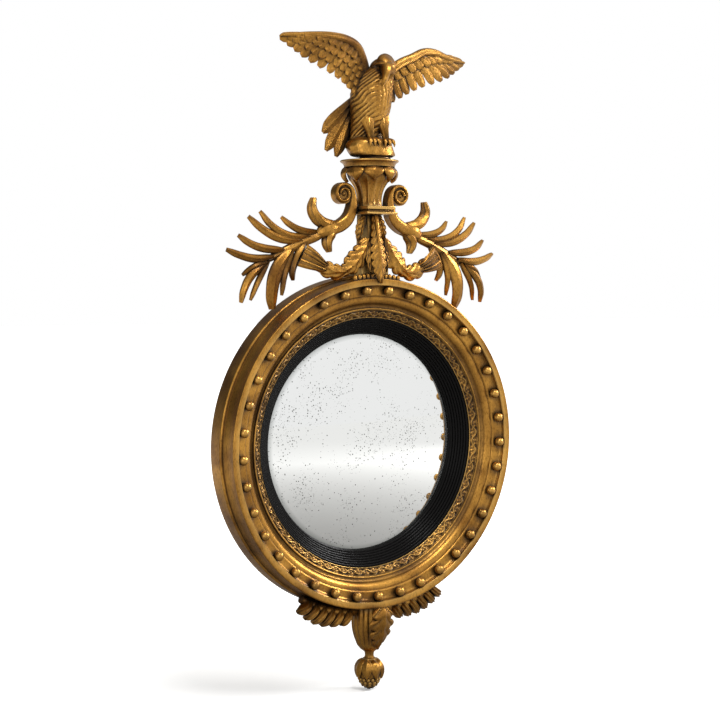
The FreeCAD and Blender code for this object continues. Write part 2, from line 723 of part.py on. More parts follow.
def stacked_ovals(levels, stations=9, sides=18):
    """A smooth body through level ovals, each given as (z, x, y, half width, half depth)."""
    columns = [resampled([level[i] for level in levels], stations) for i in range(5)]
    angles = [2 * math.pi * k / sides for k in range(sides)]
    rings = []
    for z, x, y, half_x, half_y in zip(*columns):
        rings.append([Vector(x + half_x * math.cos(a), y + half_y * math.sin(a), z) for a in angles])
    return skinned(rings)


def rock_base():
    """The turned neck and the rounded rock that the eagle stands on."""
    neck = turned_post(
        EAGLE_Y, (0, ROCK_BOTTOM), (28.0, ROCK_BOTTOM), ((29.2, 534.0), (28.0, 536.5)), (26.0, 540.0),
        (0, 540.0),
    )
    rock = stacked_ovals((
        (536.5, 0, -57, 33, 29), (544, -5, -53, 44, 37), (555, -8, -51, 48, 38), (564, -7, -52, 41, 32),
        (569, -6, -53, 26, 20),
    ))
    return joined((neck, rock))


def eagle_body():
    """The breast and back, from the thighs up to the neck."""
    return stacked_ovals((
        (584, -14, -46, 15, 15), (602, -10, -49, 33, 27), (630, -7, -53, 41, 33), (660, -6, -57, 42, 33),
        (684, -2, -64, 35, 28), (700, 2, -73, 25, 22),
    ))


def eagle_head():
    """The head, turned and bent down, with its hooked beak."""
    skull = limb(
        ((2, -70, 688), (4, -82, 700), (2, -96, 699), (-5, -105, 690)), (22.0, 22.5, 19.0, 9.0),
    )
    beak = limb(
        ((-2, -99, 696), (-8, -108, 689), (-12, -111, 679), (-12, -108, 668)), (9.5, 7.5, 5.0, 1.2),
    )
    return joined((skull, beak))


def point_on(points, share):
    """A point of the smooth line through 2-D points, at a share of its length."""
    curve = Part.BSplineCurve()
    curve.interpolate([Vector(x, 0, z) for x, z in points])
    return curve.value(curve.FirstParameter + (curve.LastParameter - curve.FirstParameter) * share)


def feather_plan(root, tip, half_width):
    """The outline of one feather: straight edges and a rounded point."""
    along = (tip - root).normalize()
    across = Vector(along.z, 0, -along.x)
    shoulder = tip - along * (half_width * 1.3)
    edge = half_width * 0.9
    left, right = shoulder - across * edge, shoulder + across * edge
    left_bulge = tip - along * (half_width * 0.5) - across * (half_width * 0.62)
    right_bulge = tip - along * (half_width * 0.5) + across * (half_width * 0.62)
    root_left, root_right = root - across * (half_width * 0.7), root + across * (half_width * 0.7)
    return Part.Face(Part.Wire([
        Part.LineSegment(root_left, left).toShape(),
        Part.Arc(left, left_bulge, tip).toShape(),
        Part.Arc(tip, right_bulge, right).toShape(),
        Part.LineSegment(right, root_right).toShape(),
        Part.LineSegment(root_right, root_left).toShape(),
    ]))


def wing_band(front, back):
    """The curved sheet, seen from above, that a row of feathers is cut from."""
    def shifted(offset):
        return [Vector(x, y - offset, 0) for x, y in WING_PLAN]
    fore, aft = shifted(front), shifted(back)
    wire = Part.Wire([
        Part.Arc(*fore).toShape(), Part.LineSegment(fore[2], aft[2]).toShape(),
        Part.Arc(*reversed(aft)).toShape(), Part.LineSegment(aft[0], fore[0]).toShape(),
    ])
    return Part.Face(wire).extrude(Vector(0, 0, 200)).translated(Vector(0, 0, 600))


def plan_depth(x):
    """Where the wing's middle surface lies at a distance from the body."""
    arc = Part.Arc(*[Vector(px, py, 0) for px, py in WING_PLAN])
    hit = arc.toShape().common(Part.LineSegment(Vector(x, -300, 0), Vector(x, 300, 0)).toShape())
    return hit.Vertexes[0].Point.y if hit.Vertexes else WING_PLAN[0][1]


def wing_right():
    """A spread wing: three rows of feathers that overlap, under a rounded leading edge."""
    rows = []
    for count, reach, half_width, front, back in FEATHER_ROWS:
        for i in range(count):
            share = i / (count - 1)
            root, end = point_on(FEATHER_ROOTS, share), point_on(FEATHER_TIPS, share)
            tip = root + (end - root) * reach
            plan = feather_plan(root, tip, half_width).translated(Vector(0, 20, 0))
            proud = 0.9 * (i % 2)
            sheet = wing_band(front + proud, back)
            rows.append(plan.extrude(Vector(0, -160, 0)).common(sheet))
    edge = limb([(x, plan_depth(x) - 4.0, z) for x, z in WING_EDGE], WING_EDGE_R, 0.8)
    return joined(rows + [edge])


def wing_left():
    """The left wing: the right one mirrored and raised a little."""
    return mirrored(wing_right()).rotated(SHOULDER, GLASS_AXIS, WING_TILT)


def eagle_tail():
    """A fan of long tail feathers behind the left side of the body."""
    feathers = []
    for i, (x, z) in enumerate(TAIL_TIPS):
        plan = feather_plan(TAIL_ROOT, Vector(x, TAIL_ROOT.y, z), TAIL_FEATHER_HALF)
        feathers.append(plan.extrude(Vector(0, -6.0 - 1.6 * (i % 2), 0)))
    return joined(feathers)


def eagle_leg(side):
    """A feathered thigh, the shank and the toes that grip the rock."""
    x = LEG_X[side]
    thigh = limb(
        ((x, -57, 612), (x, -68, 592), (x, -75, 576), (x, -77, 561)), (17.0, 13.0, 7.0, 6.0), stations=5,
    )
    toes = [
        limb(
            ((x + 2 * spread, -74, 566), (x + 7 * spread, -83, 565), (x + 9 * spread, -89, 555)),
            (4.8, 4.4, 2.0), stations=4, sides=8,
        )
        for spread in (-1, 0, 1)
    ]
    return joined([thigh] + toes)


# ---------------------------------------------------------------- the apron and pendant

def apron_calyx():
    """The reeded cup under the hoop that carries the pendant."""
    cup = turned_post(
        COLUMN_Y, (0, CUP_TOP), (31.0, CUP_TOP), (32.5, -318), ((34.4, -343), (26.5, -377)),
        ((21.0, -388), (12.0, CUP_BOTTOM)), (0, CUP_BOTTOM),
    )
    groove_r = CUP_GROOVE_R
    cutters = []
    for i in range(CUP_REED_COUNT):
        groove = blade(
            ((34.6, 0, -312), (36.0, 0, -334), (33.6, 0, -360), (25.0, 0, -384)),
            (groove_r, groove_r, groove_r * 0.9, groove_r * 0.4), groove_r * 0.7, side=GLASS_AXIS,
        )
        angle = 360.0 * (i + 0.5) / CUP_REED_COUNT
        cutters.append(groove.rotated(ORIGIN, UP, angle).translated(Vector(0, COLUMN_Y, 0)))
    return cut_each(cup, cutters + [behind_wall()])


def apron_leaf():
    """The acanthus leaf on the front of the cup."""
    return lobed_leaf(
        ((0, -84, -312), (0, -77, -336), (0, -73, -362), (0, -61, -388)),
        (11.0, 12.0, 10.0, 2.5), 5.0, 13.0, 4,
    )


def apron_scroll_right():
    """The gadrooned leaf that hangs along the hoop beside the cup."""
    def rim_point(angle, radius, y):
        return (radius * math.sin(math.radians(angle)), y, -radius * math.cos(math.radians(angle)))
    rib = limb(
        [rim_point(a, r, -37) for a, r in ((5.0, 318), (12.0, 322), (20.0, 323), (28.0, 320))],
        (9.0, 13.0, 13.0, 8.0), 1.2,
    )
    pieces = [rib]
    for i in range(LOBE_COUNT):
        angle = 9.0 + 3.1 * i
        length = 340.0 + 14.0 * math.sin(math.pi * (i + 0.8) / (LOBE_COUNT + 0.6))
        pieces.append(limb(
            (rim_point(angle, 316, -34), rim_point(angle + 1.0, 332, -46), rim_point(angle + 2.6, length, -40)),
            (8.0, 8.6, 5.0), 1.5,
        ))
    return joined(pieces)


def pendant_neck():
    """The turned neck between the cup and the bud."""
    return turned_post(
        COLUMN_Y, (0, CUP_BOTTOM), (11.0, CUP_BOTTOM), ((8.6, -402), (9.6, -409)), (13.0, BUD_TOP),
        (0, BUD_TOP),
    )


def pendant_bud():
    """The closed bud: a turned egg wrapped in overlapping petals."""
    egg = turned_post(
        COLUMN_Y, (0, BUD_TOP), (13.0, BUD_TOP), ((24.5, -432), (17.0, BUD_BOTTOM)), (0, BUD_BOTTOM),
    )
    petals = []
    for i in range(BUD_PETAL_COUNT):
        petal = blade(
            ((13.5, 0, -414.5), (21, 0, -422), (24.6, 0, -435), (21.0, 0, -452)),
            (5.0, 11.5, 12.0, 2.0), 2.6, side=GLASS_AXIS,
        )
        angle = 360.0 * i / BUD_PETAL_COUNT + 15.0
        petals.append(petal.rotated(ORIGIN, UP, angle).translated(Vector(0, COLUMN_Y, 0)))
    return joined([egg] + petals).cut(box((-40, -90, BUD_TOP), (40, 20, BUD_TOP + 22)))


def pendant_berries():
    """The cluster of berries at the bud's end."""
    heart = turned_post(COLUMN_Y, (0, BUD_BOTTOM), (16.0, BUD_BOTTOM), ((13.0, -463), (0, -467)))
    berry = bead(BERRY_R, (-0.92, -0.4, 0.4, 0.92), 8)
    berries = [heart]
    for count, row_r, z in BERRY_ROWS:
        for i in range(count):
            angle = 2 * math.pi * i / count
            place = Vector(row_r * math.cos(angle), COLUMN_Y + row_r * math.sin(angle), z)
            berries.append(berry.translated(place))
    return joined(berries).cut(box((-40, -90, BUD_BOTTOM), (40, 20, BUD_BOTTOM + 15)))


# ---------------------------------------------------------------- assembly

def dowels():
    """Birch dowels that pin the rock to the capital, the capital to the post, and the pendant."""
    return [Part.makeCylinder(r, high - low, Vector(0, y, low), UP) for y, low, high, r in DOWELS]


def fitted(piece, *neighbours):
    """A piece carved away where its neighbours are, so that it seats against them."""
    return piece.cut(Part.makeCompound(list(neighbours)))


def without_chips(piece):
    """The biggest solid of a piece, without the chips that fitting it has cut loose."""
    return max(piece.Solids, key=lambda solid: solid.Volume)


def frame_nodes():
    """The round frame, the glass and what holds them."""
    pockets = [hanger_pocket(side) for side in (LEFT, RIGHT)]
    pockets += [plate_pocket(CREST_PLATE_Z), plate_pocket(APRON_PLATE_Z)]
    screws = panel_screws() + plate_screws(CREST_PLATE_Z) + plate_screws(APRON_PLATE_Z)
    screws += hanger_screws_at(LEFT) + hanger_screws_at(RIGHT)
    nodes = {
        "frame_hoop": cut_each(frame_hoop(), pockets + screws),
        "front_moulding": front_moulding(),
        "cove_balls": cove_balls(),
        "carved_ring": carved_ring(),
        "reeded_slip": reeded_slip(),
        "mirror_glass": mirror_glass(),
        "glass_pads": glass_pads(),
        "back_panel": back_panel(),
        "back_panel_screws": Part.makeCompound(panel_screws()),
        "hanger_screws": Part.makeCompound(hanger_screws_at(LEFT) + hanger_screws_at(RIGHT)),
        "crest_plate": mending_plate(CREST_PLATE_Z),
        "apron_plate": mending_plate(APRON_PLATE_Z),
        "plate_screws": Part.makeCompound(plate_screws(CREST_PLATE_Z) + plate_screws(APRON_PLATE_Z)),
        "dowels": Part.makeCompound(dowels()),
    }
    for side in (LEFT, RIGHT):
        nodes["hanger_strap_" + SIDE_NAMES[side]] = hanger_strap(side)
        nodes["hanger_ring_" + SIDE_NAMES[side]] = hanger_ring(side)
    return nodes


def crest_nodes(frame):
    """The capital, the scrolls, the sprays and the leaves above the frame."""
    hoop, moulding = frame["frame_hoop"], frame["front_moulding"]
    pins = dowels()
    nodes = {}
    block = fitted(crest_block(), hoop, moulding, plate_pocket(CREST_PLATE_Z))
    nodes["crest_block"] = cut_each(block, plate_screws(CREST_PLATE_Z) + pins)
    nodes["crest_tablet"] = cut_each(crest_tablet(), pins)
    nodes["capital_bell"] = cut_each(capital_bell(), pins)
    nodes["abacus"] = cut_each(abacus(), pins)
    nodes["capital_petals"] = fitted(capital_petals(), nodes["capital_bell"], nodes["abacus"])
    column = [nodes[name] for name in ("crest_block", "crest_tablet", "capital_bell", "capital_petals")]
    nodes["drop_leaf_centre"] = fitted(drop_leaf_centre(), *column, moulding)
    nodes["foot_reeds"] = fitted(foot_reeds(), *column, hoop, moulding, nodes["drop_leaf_centre"])
    right = {"scroll": fitted(scroll_right(), *column, nodes["drop_leaf_centre"])}
    right["husk"] = fitted(husk_right(), right["scroll"], *column)
    right["spray"] = fitted(spray_right(), right["husk"], right["scroll"])
    taken = column + [nodes["drop_leaf_centre"], nodes["foot_reeds"], hoop, moulding]
    right["swag"] = fitted(swag_right(), *taken, *right.values())
    right["drop_leaf"] = fitted(drop_leaf_right(), *taken, *right.values())
    for name, piece in right.items():
        nodes[name + "_right"] = piece
        nodes[name + "_left"] = mirrored(piece)
    return nodes


def eagle_nodes(crest):
    """The eagle and its rock."""
    rock = cut_each(fitted(rock_base(), crest["abacus"]), dowels())
    body = fitted(eagle_body(), rock)
    head = fitted(eagle_head(), body)
    nodes = {"rock_base": rock, "eagle_body": body, "eagle_head": head}
    nodes["eagle_wing_right"] = without_chips(fitted(wing_right(), body, head))
    nodes["eagle_wing_left"] = without_chips(fitted(wing_left(), body, head))
    nodes["eagle_tail"] = fitted(eagle_tail(), body, rock)
    for side in (LEFT, RIGHT):
        nodes["eagle_leg_" + SIDE_NAMES[side]] = fitted(eagle_leg(side), body, rock)
    return nodes


def apron_nodes(frame):
    """The cup, its leaves and the pendant below the frame."""
    hoop, moulding = frame["frame_hoop"], frame["front_moulding"]
    cup = fitted(apron_calyx(), hoop, moulding, plate_pocket(APRON_PLATE_Z))
    cup = cut_each(cup, plate_screws(APRON_PLATE_Z) + dowels())
    leaf = fitted(apron_leaf(), cup, hoop, moulding)
    gadroon = fitted(apron_scroll_right(), cup, leaf, hoop, moulding)
    return {
        "apron_calyx": cup,
        "apron_leaf": leaf,
        "apron_gadroon_right": gadroon,
        "apron_gadroon_left": mirrored(gadroon),
        "pendant_neck": cut_each(pendant_neck(), dowels()),
        "pendant_bud": cut_each(pendant_bud(), dowels()),
        "pendant_berries": pendant_berries(),
    }


def main():
    """Builds every node and writes one STEP file for each."""
    os.makedirs("parts", exist_ok=True)
    nodes = frame_nodes()
    nodes.update(crest_nodes(nodes))
    nodes.update(eagle_nodes(nodes))
    nodes.update(apron_nodes(nodes))
    for name, shape in nodes.items():
        solids = shape.Solids
        whole = solids[0] if len(solids) == 1 else Part.makeCompound(solids)
        whole.exportStep("parts/" + name + ".step")
        print(name, len(solids), "solid" if whole.isValid() else "NOT VALID", round(whole.Volume))


main()
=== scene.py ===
"""Dresses the girandole mirror: gilded carving, ebonised slip, silvered glass and pine back.

Sizes in the classes are millimetres. Carved blades are made lying on a bench, as (x, height, proud),
where proud is how far a point stands in front of the wall, and are then stood up against it.
"""

import logging
import math
from collections.abc import Callable, Iterator
from contextlib import contextmanager
from dataclasses import dataclass, replace
from enum import Enum

import bmesh
import bpy
import numpy as np
from mathutils import Matrix, Vector, noise


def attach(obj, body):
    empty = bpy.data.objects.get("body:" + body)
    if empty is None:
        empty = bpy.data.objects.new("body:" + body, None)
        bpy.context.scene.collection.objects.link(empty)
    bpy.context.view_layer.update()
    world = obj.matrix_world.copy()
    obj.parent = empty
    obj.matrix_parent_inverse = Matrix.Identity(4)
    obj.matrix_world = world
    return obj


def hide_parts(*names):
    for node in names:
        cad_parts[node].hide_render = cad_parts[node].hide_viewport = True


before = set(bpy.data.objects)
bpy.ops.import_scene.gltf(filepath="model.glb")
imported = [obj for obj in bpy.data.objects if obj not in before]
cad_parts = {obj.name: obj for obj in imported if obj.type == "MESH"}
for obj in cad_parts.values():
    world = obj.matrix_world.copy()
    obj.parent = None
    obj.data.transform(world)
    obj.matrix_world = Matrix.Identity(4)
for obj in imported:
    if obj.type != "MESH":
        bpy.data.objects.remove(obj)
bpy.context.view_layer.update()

LOG = logging.getLogger("girandole")
MM = 0.001
COLUMN_Y = -39.0
WALL_GAP = 2.0
FULL_TURN = 2 * math.pi
ROOT = "root"
MIRROR_X = Matrix.Scale(-1, 4, (1, 0, 0))
SURFACE = "Principled BSDF"
TURNED_ANGLE = 32.0     # degrees: edges of turned pieces that are sharper than this stay sharp
CARVED_ANGLE = 42.0

Point = tuple[float, float, float]
Colour = tuple[float, float, float, float]
Span = tuple[float, float, float, float]
Object = bpy.types.Object
Socket = bpy.types.NodeSocket


# ------------------------------------------------------------------ finishes


def linear(code: str) -> Colour:
    """Turns an sRGB hex colour, six digits, into a linear one with alpha."""
    parts = [int(code[i:i + 2], 16) / 255 for i in (0, 2, 4)]
    parts = [p / 12.92 if p <= 0.04045 else ((p + 0.055) / 1.055) ** 2.4 for p in parts]
    return (parts[0], parts[1], parts[2], 1.0)


def grey(value: float) -> Colour:
    """A neutral linear colour."""
    return (value, value, value, 1.0)


class Nodes:
    """The node tree of a material or a world, with the nodes that the finishes share."""

    def __init__(self, owner: bpy.types.Material | bpy.types.World, shader: str = SURFACE) -> None:
        """Opens the tree and finds its shader."""
        owner.use_nodes = True
        self.tree = owner.node_tree
        self.shader = self.tree.nodes[shader]

    def feed(self, node: bpy.types.Node, links: dict) -> None:
        """Sets or links a node's inputs, which are given by name or number."""
        for name, value in links.items():
            if isinstance(value, Socket):
                self.tree.links.new(value, node.inputs[name])
            else:
                node.inputs[name].default_value = value

    def add(self, kind: str, links: dict | None = None, **settings) -> bpy.types.Node:
        """Adds a node.

        Args:
            kind: the node's type name without its ShaderNode prefix.
            links: a value or an output socket for each input name or number.
            settings: attributes of the node.

        Returns:
            The new node.
        """
        made = self.tree.nodes.new("ShaderNode" + kind)
        for name, value in settings.items():
            setattr(made, name, value)
        self.feed(made, links or {})
        return made

    def place(self, space: str = "Object") -> Socket:
        """Where a point is, in the object's own metres unless told otherwise."""
        return self.add("TexCoord").outputs[space]

    def stretched(self, place: Socket, scale: Point) -> Socket:
        """A place scaled along each axis."""
        return self.add("Mapping", {"Vector": place, "Scale": scale}).outputs[0]

    def noise(self, place: Socket, pitch_mm: float, detail: float, **inputs: float) -> Socket:
        """Soft noise with a pitch in millimetres."""
        links = {"Vector": place, "Scale": 1000 / pitch_mm, "Detail": detail}
        return self.add("TexNoise", links | inputs).outputs[0]

    def pointiness(self) -> Socket:
        """How far an edge stands out, round 0.5 where the surface is flat."""
        return self.add("NewGeometry").outputs["Pointiness"]

    def maths(self, operation: str, *values: Socket | float, clamp: bool = False) -> Socket:
        """The result of one operation on one or two numbers."""
        return self.add("Math", dict(enumerate(values)), operation=operation, use_clamp=clamp).outputs[0]

    def span(self, source: Socket, low: float, high: float, start: float, end: float) -> Socket:
        """Carries a number from low..high over to start..end, and no further."""
        return self.add("MapRange", {0: source, 1: low, 2: high, 3: start, 4: end}).outputs[0]

    def blend(self, factor: Socket | float, first: Socket | float, second: Socket | float) -> Socket:
        """A mix of two numbers."""
        return self.add("Mix", {"Factor": factor, 2: first, 3: second}, data_type="FLOAT").outputs[0]

    def mix(
        self, factor: Socket | float, first: Socket | Colour, second: Socket | Colour, way: str = "MIX",
    ) -> Socket:
        """A mix of two colours."""
        links = {"Factor": factor, 6: first, 7: second}
        return self.add("Mix", links, data_type="RGBA", blend_type=way).outputs[2]

    def ramp(self, source: Socket, low: float, first: Colour, high: float, second: Colour) -> Socket:
        """The first colour up to low, the second from high on, and a ramp between them."""
        made = self.add("ValToRGB", {0: source})
        for element, position, colour in zip(made.color_ramp.elements, (low, high), (first, second)):
            element.position = position
            element.color = colour
        return made.outputs[0]

    def bump(
        self, strength: float, depth_mm: float, height: Socket, under: Socket | None = None,
    ) -> Socket:
        """A normal bent by a height, on top of another bent normal if there is one."""
        links = {"Strength": strength, "Distance": depth_mm * MM, "Height": height}
        if under is not None:
            links["Normal"] = under
        return self.add("Bump", links).outputs[0]


class Finish:
    """What every finish shares: it names its material and says what goes into the shader."""

    name: str

    def inputs(self, nodes: Nodes) -> dict:
        """What feeds the shader, by input name; each finish has its own."""
        raise NotImplementedError

    def make(self) -> bpy.types.Material:
        """Builds the material."""
        material = bpy.data.materials.new(self.name)
        nodes = Nodes(material)
        nodes.feed(nodes.shader, self.inputs(nodes))
        return material


@dataclass(frozen=True)
class WaterGilding(Finish):
    """Gold leaf laid over clay on gessoed pine, then toned with brown wax.

    Leaf is a true metal: bright where it is rubbed, partly a painted highlight on sharp edges, and dull
    umber where the wax lies in the hollows, partly painted shade that darkens a point the more enclosed it
    is.
    A span carries its first two numbers over to its last two.
    """

    name: str = "water_gilding"
    leaf: str = "B5843C"
    deep_leaf: str = "785022"
    wax_and_shade: str = "1E1207"
    rubbed_and_highlit: str = "E0B86E"
    bare: str = "9A7B4C"        # the dull ochre wash on the faces against the wall, which have no leaf
    bare_reach_mm: float = 1.6
    bare_roughness: float = 0.85
    roughness: float = 0.34
    wax_and_shade_reach_mm: float = 14.0
    wax_and_shade_power: float = 1.9      # how fast the wax and its painted shade build up towards the hollows
    wax_and_shade_metal: float = 0.45     # how metallic the leaf still looks under the thickest wax and painted shade
    cloud_mm: float = 60.0      # how far apart the leaf's paler and browner patches lie
    brush_mm: float = 2.2       # the gesso's brush marks
    brush_stretch: Point = (1.0, 1.0, 0.35)
    barb_mm: float = 0.0        # the pitch of the feathers' carved barbs, 0 for none
    barb_slant: float = 0.9
    barb_depth_mm: float = 0.5
    rubbed_and_highlight_span: Span = (0.52, 0.60, 0.0, 0.75)     # from pointiness to rubbed gold, partly a painted highlight
    ragged_span: Span = (0.3, 0.7, 0.82, 1.12)      # from the patches to the uneven edge of the wax and painted shade
    barb_shade_span: Span = (0.0, 0.5, 0.42, 1.0)         # from a groove's height to the leaf that shows; the rest gets wax colour as painted shade
    wax_and_shade_stops: tuple[float, float] = (0.12, 0.86)   # shares of openness: all wax and painted shade, all leaf
    leaf_stops: tuple[float, float] = (0.30, 0.62)
    speck_stops: tuple[float, float] = (0.33, 0.5)
    speck_grey: float = 0.55

    def inputs(self, nodes: Nodes) -> dict:
        """Adds the nodes and returns what feeds the shader."""
        place = nodes.place()
        cloud = nodes.noise(place, self.cloud_mm, 4.0)
        brush = nodes.noise(nodes.stretched(place, self.brush_stretch), self.brush_mm, 3.0, Roughness=0.6)
        low, high = self.leaf_stops
        patches = nodes.ramp(cloud, low, linear(self.deep_leaf), high, linear(self.leaf))
        low, high = self.speck_stops
        specks = nodes.ramp(brush, low, grey(self.speck_grey), high, grey(1.0))
        specked = nodes.mix(1.0, patches, specks, "MULTIPLY")
        # painted highlight: sharp edges get pale gold, partly real rubbing of the leaf
        rubbed_and_highlit = nodes.mix(
            nodes.span(nodes.pointiness(), *self.rubbed_and_highlight_span), specked, linear(self.rubbed_and_highlit),
        )
        # painted shade: the more enclosed a point is, the more wax colour it gets, on top of real wax in
        # the hollows
        openness = nodes.add("AmbientOcclusion", {"Distance": self.wax_and_shade_reach_mm * MM}, samples=8)
        steep = nodes.maths("POWER", openness.outputs["AO"], self.wax_and_shade_power)
        cover = nodes.maths("MULTIPLY", steep, nodes.span(cloud, *self.ragged_span), clamp=True)
        normal = nodes.bump(0.28, 0.4, brush)
        if self.barb_mm:
            barbs = self.barbs(nodes)
            # painted shade: the barbs' bumped grooves get more wax colour, partly real wax in them
            cover = nodes.maths("MULTIPLY", cover, nodes.span(barbs, *self.barb_shade_span))
            normal = nodes.bump(0.9, self.barb_depth_mm, barbs, normal)
        low, high = self.wax_and_shade_stops
        shown = nodes.ramp(cover, low, grey(0.0), high, grey(1.0))
        reach = self.bare_reach_mm * MM
        bare = nodes.span(nodes.add("SeparateXYZ", {0: place}).outputs[1], -reach, -0.7 * reach, 0.0, 1.0)
        polish = nodes.span(brush, 0.3, 0.7, self.roughness + 0.10, self.roughness - 0.06)
        return {
            "Base Color": nodes.mix(bare, nodes.mix(shown, linear(self.wax_and_shade), rubbed_and_highlit), linear(self.bare)),
            "Metallic": nodes.blend(bare, nodes.span(shown, 0.0, 1.0, self.wax_and_shade_metal, 1.0), 0.0),
            "Roughness": nodes.blend(bare, polish, self.bare_roughness),
            "Normal": normal,
        }

    def barbs(self, nodes: Nodes) -> Socket:
        """Slanting grooves that follow each blade, from its own grain attribute."""
        grain = nodes.add("Attribute", attribute_name="grain").outputs["Vector"]
        parts = nodes.add("SeparateXYZ", {0: grain})
        lean = nodes.maths("MULTIPLY", nodes.maths("ABSOLUTE", parts.outputs[1]), -self.barb_slant)
        turns = nodes.maths(
            "MULTIPLY", nodes.maths("ADD", parts.outputs[0], lean), math.pi / self.barb_mm,
        )
        return nodes.maths("ABSOLUTE", nodes.maths("SINE", turns))


@dataclass(frozen=True)
class EbonisedSlip(Finish):
    """Pine stained black and waxed: a soft satin whose sharp edges are worn to a thin grey, partly a
    painted highlight.
    """

    name: str = "ebonised_pine"
    black: str = "070606"
    worn_and_highlit: str = "1B1917"
    roughness: float = 0.25
    sheen: float = 0.07         # the wax film's reflectance, well below a varnish's
    grain_mm: float = 5.0
    worn_and_highlight_span: Span = (0.51, 0.58, 0.0, 0.6)        # from pointiness to worn black, partly a painted highlight

    def inputs(self, nodes: Nodes) -> dict:
        """Adds the nodes and returns what feeds the shader."""
        grain = nodes.noise(nodes.place(), self.grain_mm, 5.0)
        # painted highlight: the reeds' sharp edges get a thin grey, partly real wear
        worn_and_highlit = nodes.span(nodes.pointiness(), *self.worn_and_highlight_span)
        return {
            "Base Color": nodes.mix(worn_and_highlit, linear(self.black), linear(self.worn_and_highlit)),
            "Roughness": nodes.span(grain, 0.0, 1.0, self.roughness - 0.08, self.roughness + 0.12),
            "Specular IOR Level": self.sheen,
            "Normal": nodes.bump(0.05, 0.2, grain),
        }


@dataclass(frozen=True)
class FoxedSilvering(Finish):
    """Convex glass silvered on its back, with the dark foxing of old mirror.

    Silver under glass reflects almost all light. The foxing is where it has turned dark and dull.
    """

    name: str = "foxed_mirror"
    silver: str = "E4E5E4"
    fox: str = "34342F"
    rim: str = "56605A"
    layers: tuple = ((4.4, 0.34), (2.6, 0.28))      # the specks' pitch, and their radius as a share of it
    warp: float = 0.0012                            # how far noise pushes the specks out of round
    cluster_mm: float = 70.0
    cluster_span: Span = (0.44, 0.68, 0.04, 0.60)   # from the cluster noise to the share of specks kept
    fox_cover: float = 0.85
    sight_r_mm: float = 205.8
    rim_mm: tuple[float, float] = (-10.0, 1.0)      # the darkened rim, from the sight edge
    rim_cover: float = 0.55

    def inputs(self, nodes: Nodes) -> dict:
        """Adds the nodes and returns what feeds the shader."""
        place = nodes.place()
        limit = nodes.span(nodes.noise(place, self.cluster_mm, 3.0), *self.cluster_span)
        found = []
        for pitch, size in self.layers:
            push = nodes.add("TexNoise", {"Vector": place, "Scale": 600 / pitch, "Detail": 1.0})
            links = {"Factor": self.warp, 4: place, 5: push.outputs["Color"]}
            moved = nodes.add("Mix", links, data_type="VECTOR").outputs[1]
            cells = nodes.add("TexVoronoi", {"Vector": moved, "Scale": 1000 / pitch, "Randomness": 1.0})
            chance = nodes.add("SeparateColor", {0: cells.outputs["Color"]}).outputs[0]
            dot = nodes.span(cells.outputs["Distance"], size, size * 0.55, 0.0, 1.0)
            found.append(nodes.maths("MULTIPLY", nodes.maths("LESS_THAN", chance, limit), dot))
        specks = nodes.maths("MAXIMUM", *found)
        flat = nodes.add("VectorMath", {0: place, 1: (1.0, 0.0, 1.0)}, operation="MULTIPLY").outputs[0]
        radius = nodes.add("VectorMath", {0: flat}, operation="LENGTH").outputs["Value"]
        start, end = ((self.sight_r_mm + offset) * MM for offset in self.rim_mm)
        rim = nodes.span(radius, start, end, 0.0, self.rim_cover)
        edged = nodes.mix(rim, linear(self.silver), linear(self.rim))
        shade = nodes.maths("MULTIPLY", specks, self.fox_cover)
        return {
            "Base Color": nodes.mix(shade, edged, linear(self.fox)),
            "Metallic": 1.0,
            "Roughness": nodes.span(specks, 0.0, 1.0, 0.03, 0.45),
        }


@dataclass(frozen=True)
class BarePine(Finish):
    """Planed softwood, left bare at the back: pale straw with brown growth rings, quite dull."""

    name: str = "bare_pine"
    pale: str = "C9A36B"
    dark: str = "AB8350"
    ring_mm: float = 8.5
    roughness: float = 0.62
    board_stretch: Point = (1.0, 0.3, 0.08)
    fibre_stretch: Point = (1.0, 1.0, 0.04)

    def inputs(self, nodes: Nodes) -> dict:
        """Adds the nodes and returns what feeds the shader."""
        place = nodes.place()
        rings = nodes.add("TexWave", {
            "Vector": nodes.stretched(place, self.board_stretch), "Scale": 100 / self.ring_mm,
            "Distortion": 7.0, "Detail": 3.0,
        }, bands_direction="X").outputs["Fac"]
        fibre = nodes.add("TexNoise", {
            "Vector": nodes.stretched(place, self.fibre_stretch), "Scale": 700.0, "Detail": 3.0,
        }).outputs[0]
        figure = nodes.maths("MULTIPLY", rings, fibre)
        return {
            "Base Color": nodes.ramp(figure, 0.05, linear(self.dark), 0.55, linear(self.pale)),
            "Roughness": self.roughness,
            "Normal": nodes.bump(0.2, 0.3, fibre),
        }


@dataclass(frozen=True)
class ZincedSteel(Finish):
    """Zinc-plated mild steel fittings: grey, slightly clouded, with a soft shine."""

    name: str = "zinc_plated_steel"
    bright: str = "B9BABB"
    dull: str = "7C7E80"
    roughness: float = 0.38
    cloud_mm: float = 6.0

    def inputs(self, nodes: Nodes) -> dict:
        """Adds the nodes and returns what feeds the shader."""
        cloud = nodes.noise(nodes.place(), self.cloud_mm, 4.0)
        return {
            "Base Color": nodes.ramp(cloud, 0.35, linear(self.dull), 0.6, linear(self.bright)),
            "Metallic": 1.0,
            "Roughness": nodes.span(cloud, 0.0, 1.0, self.roughness - 0.1, self.roughness + 0.12),
        }


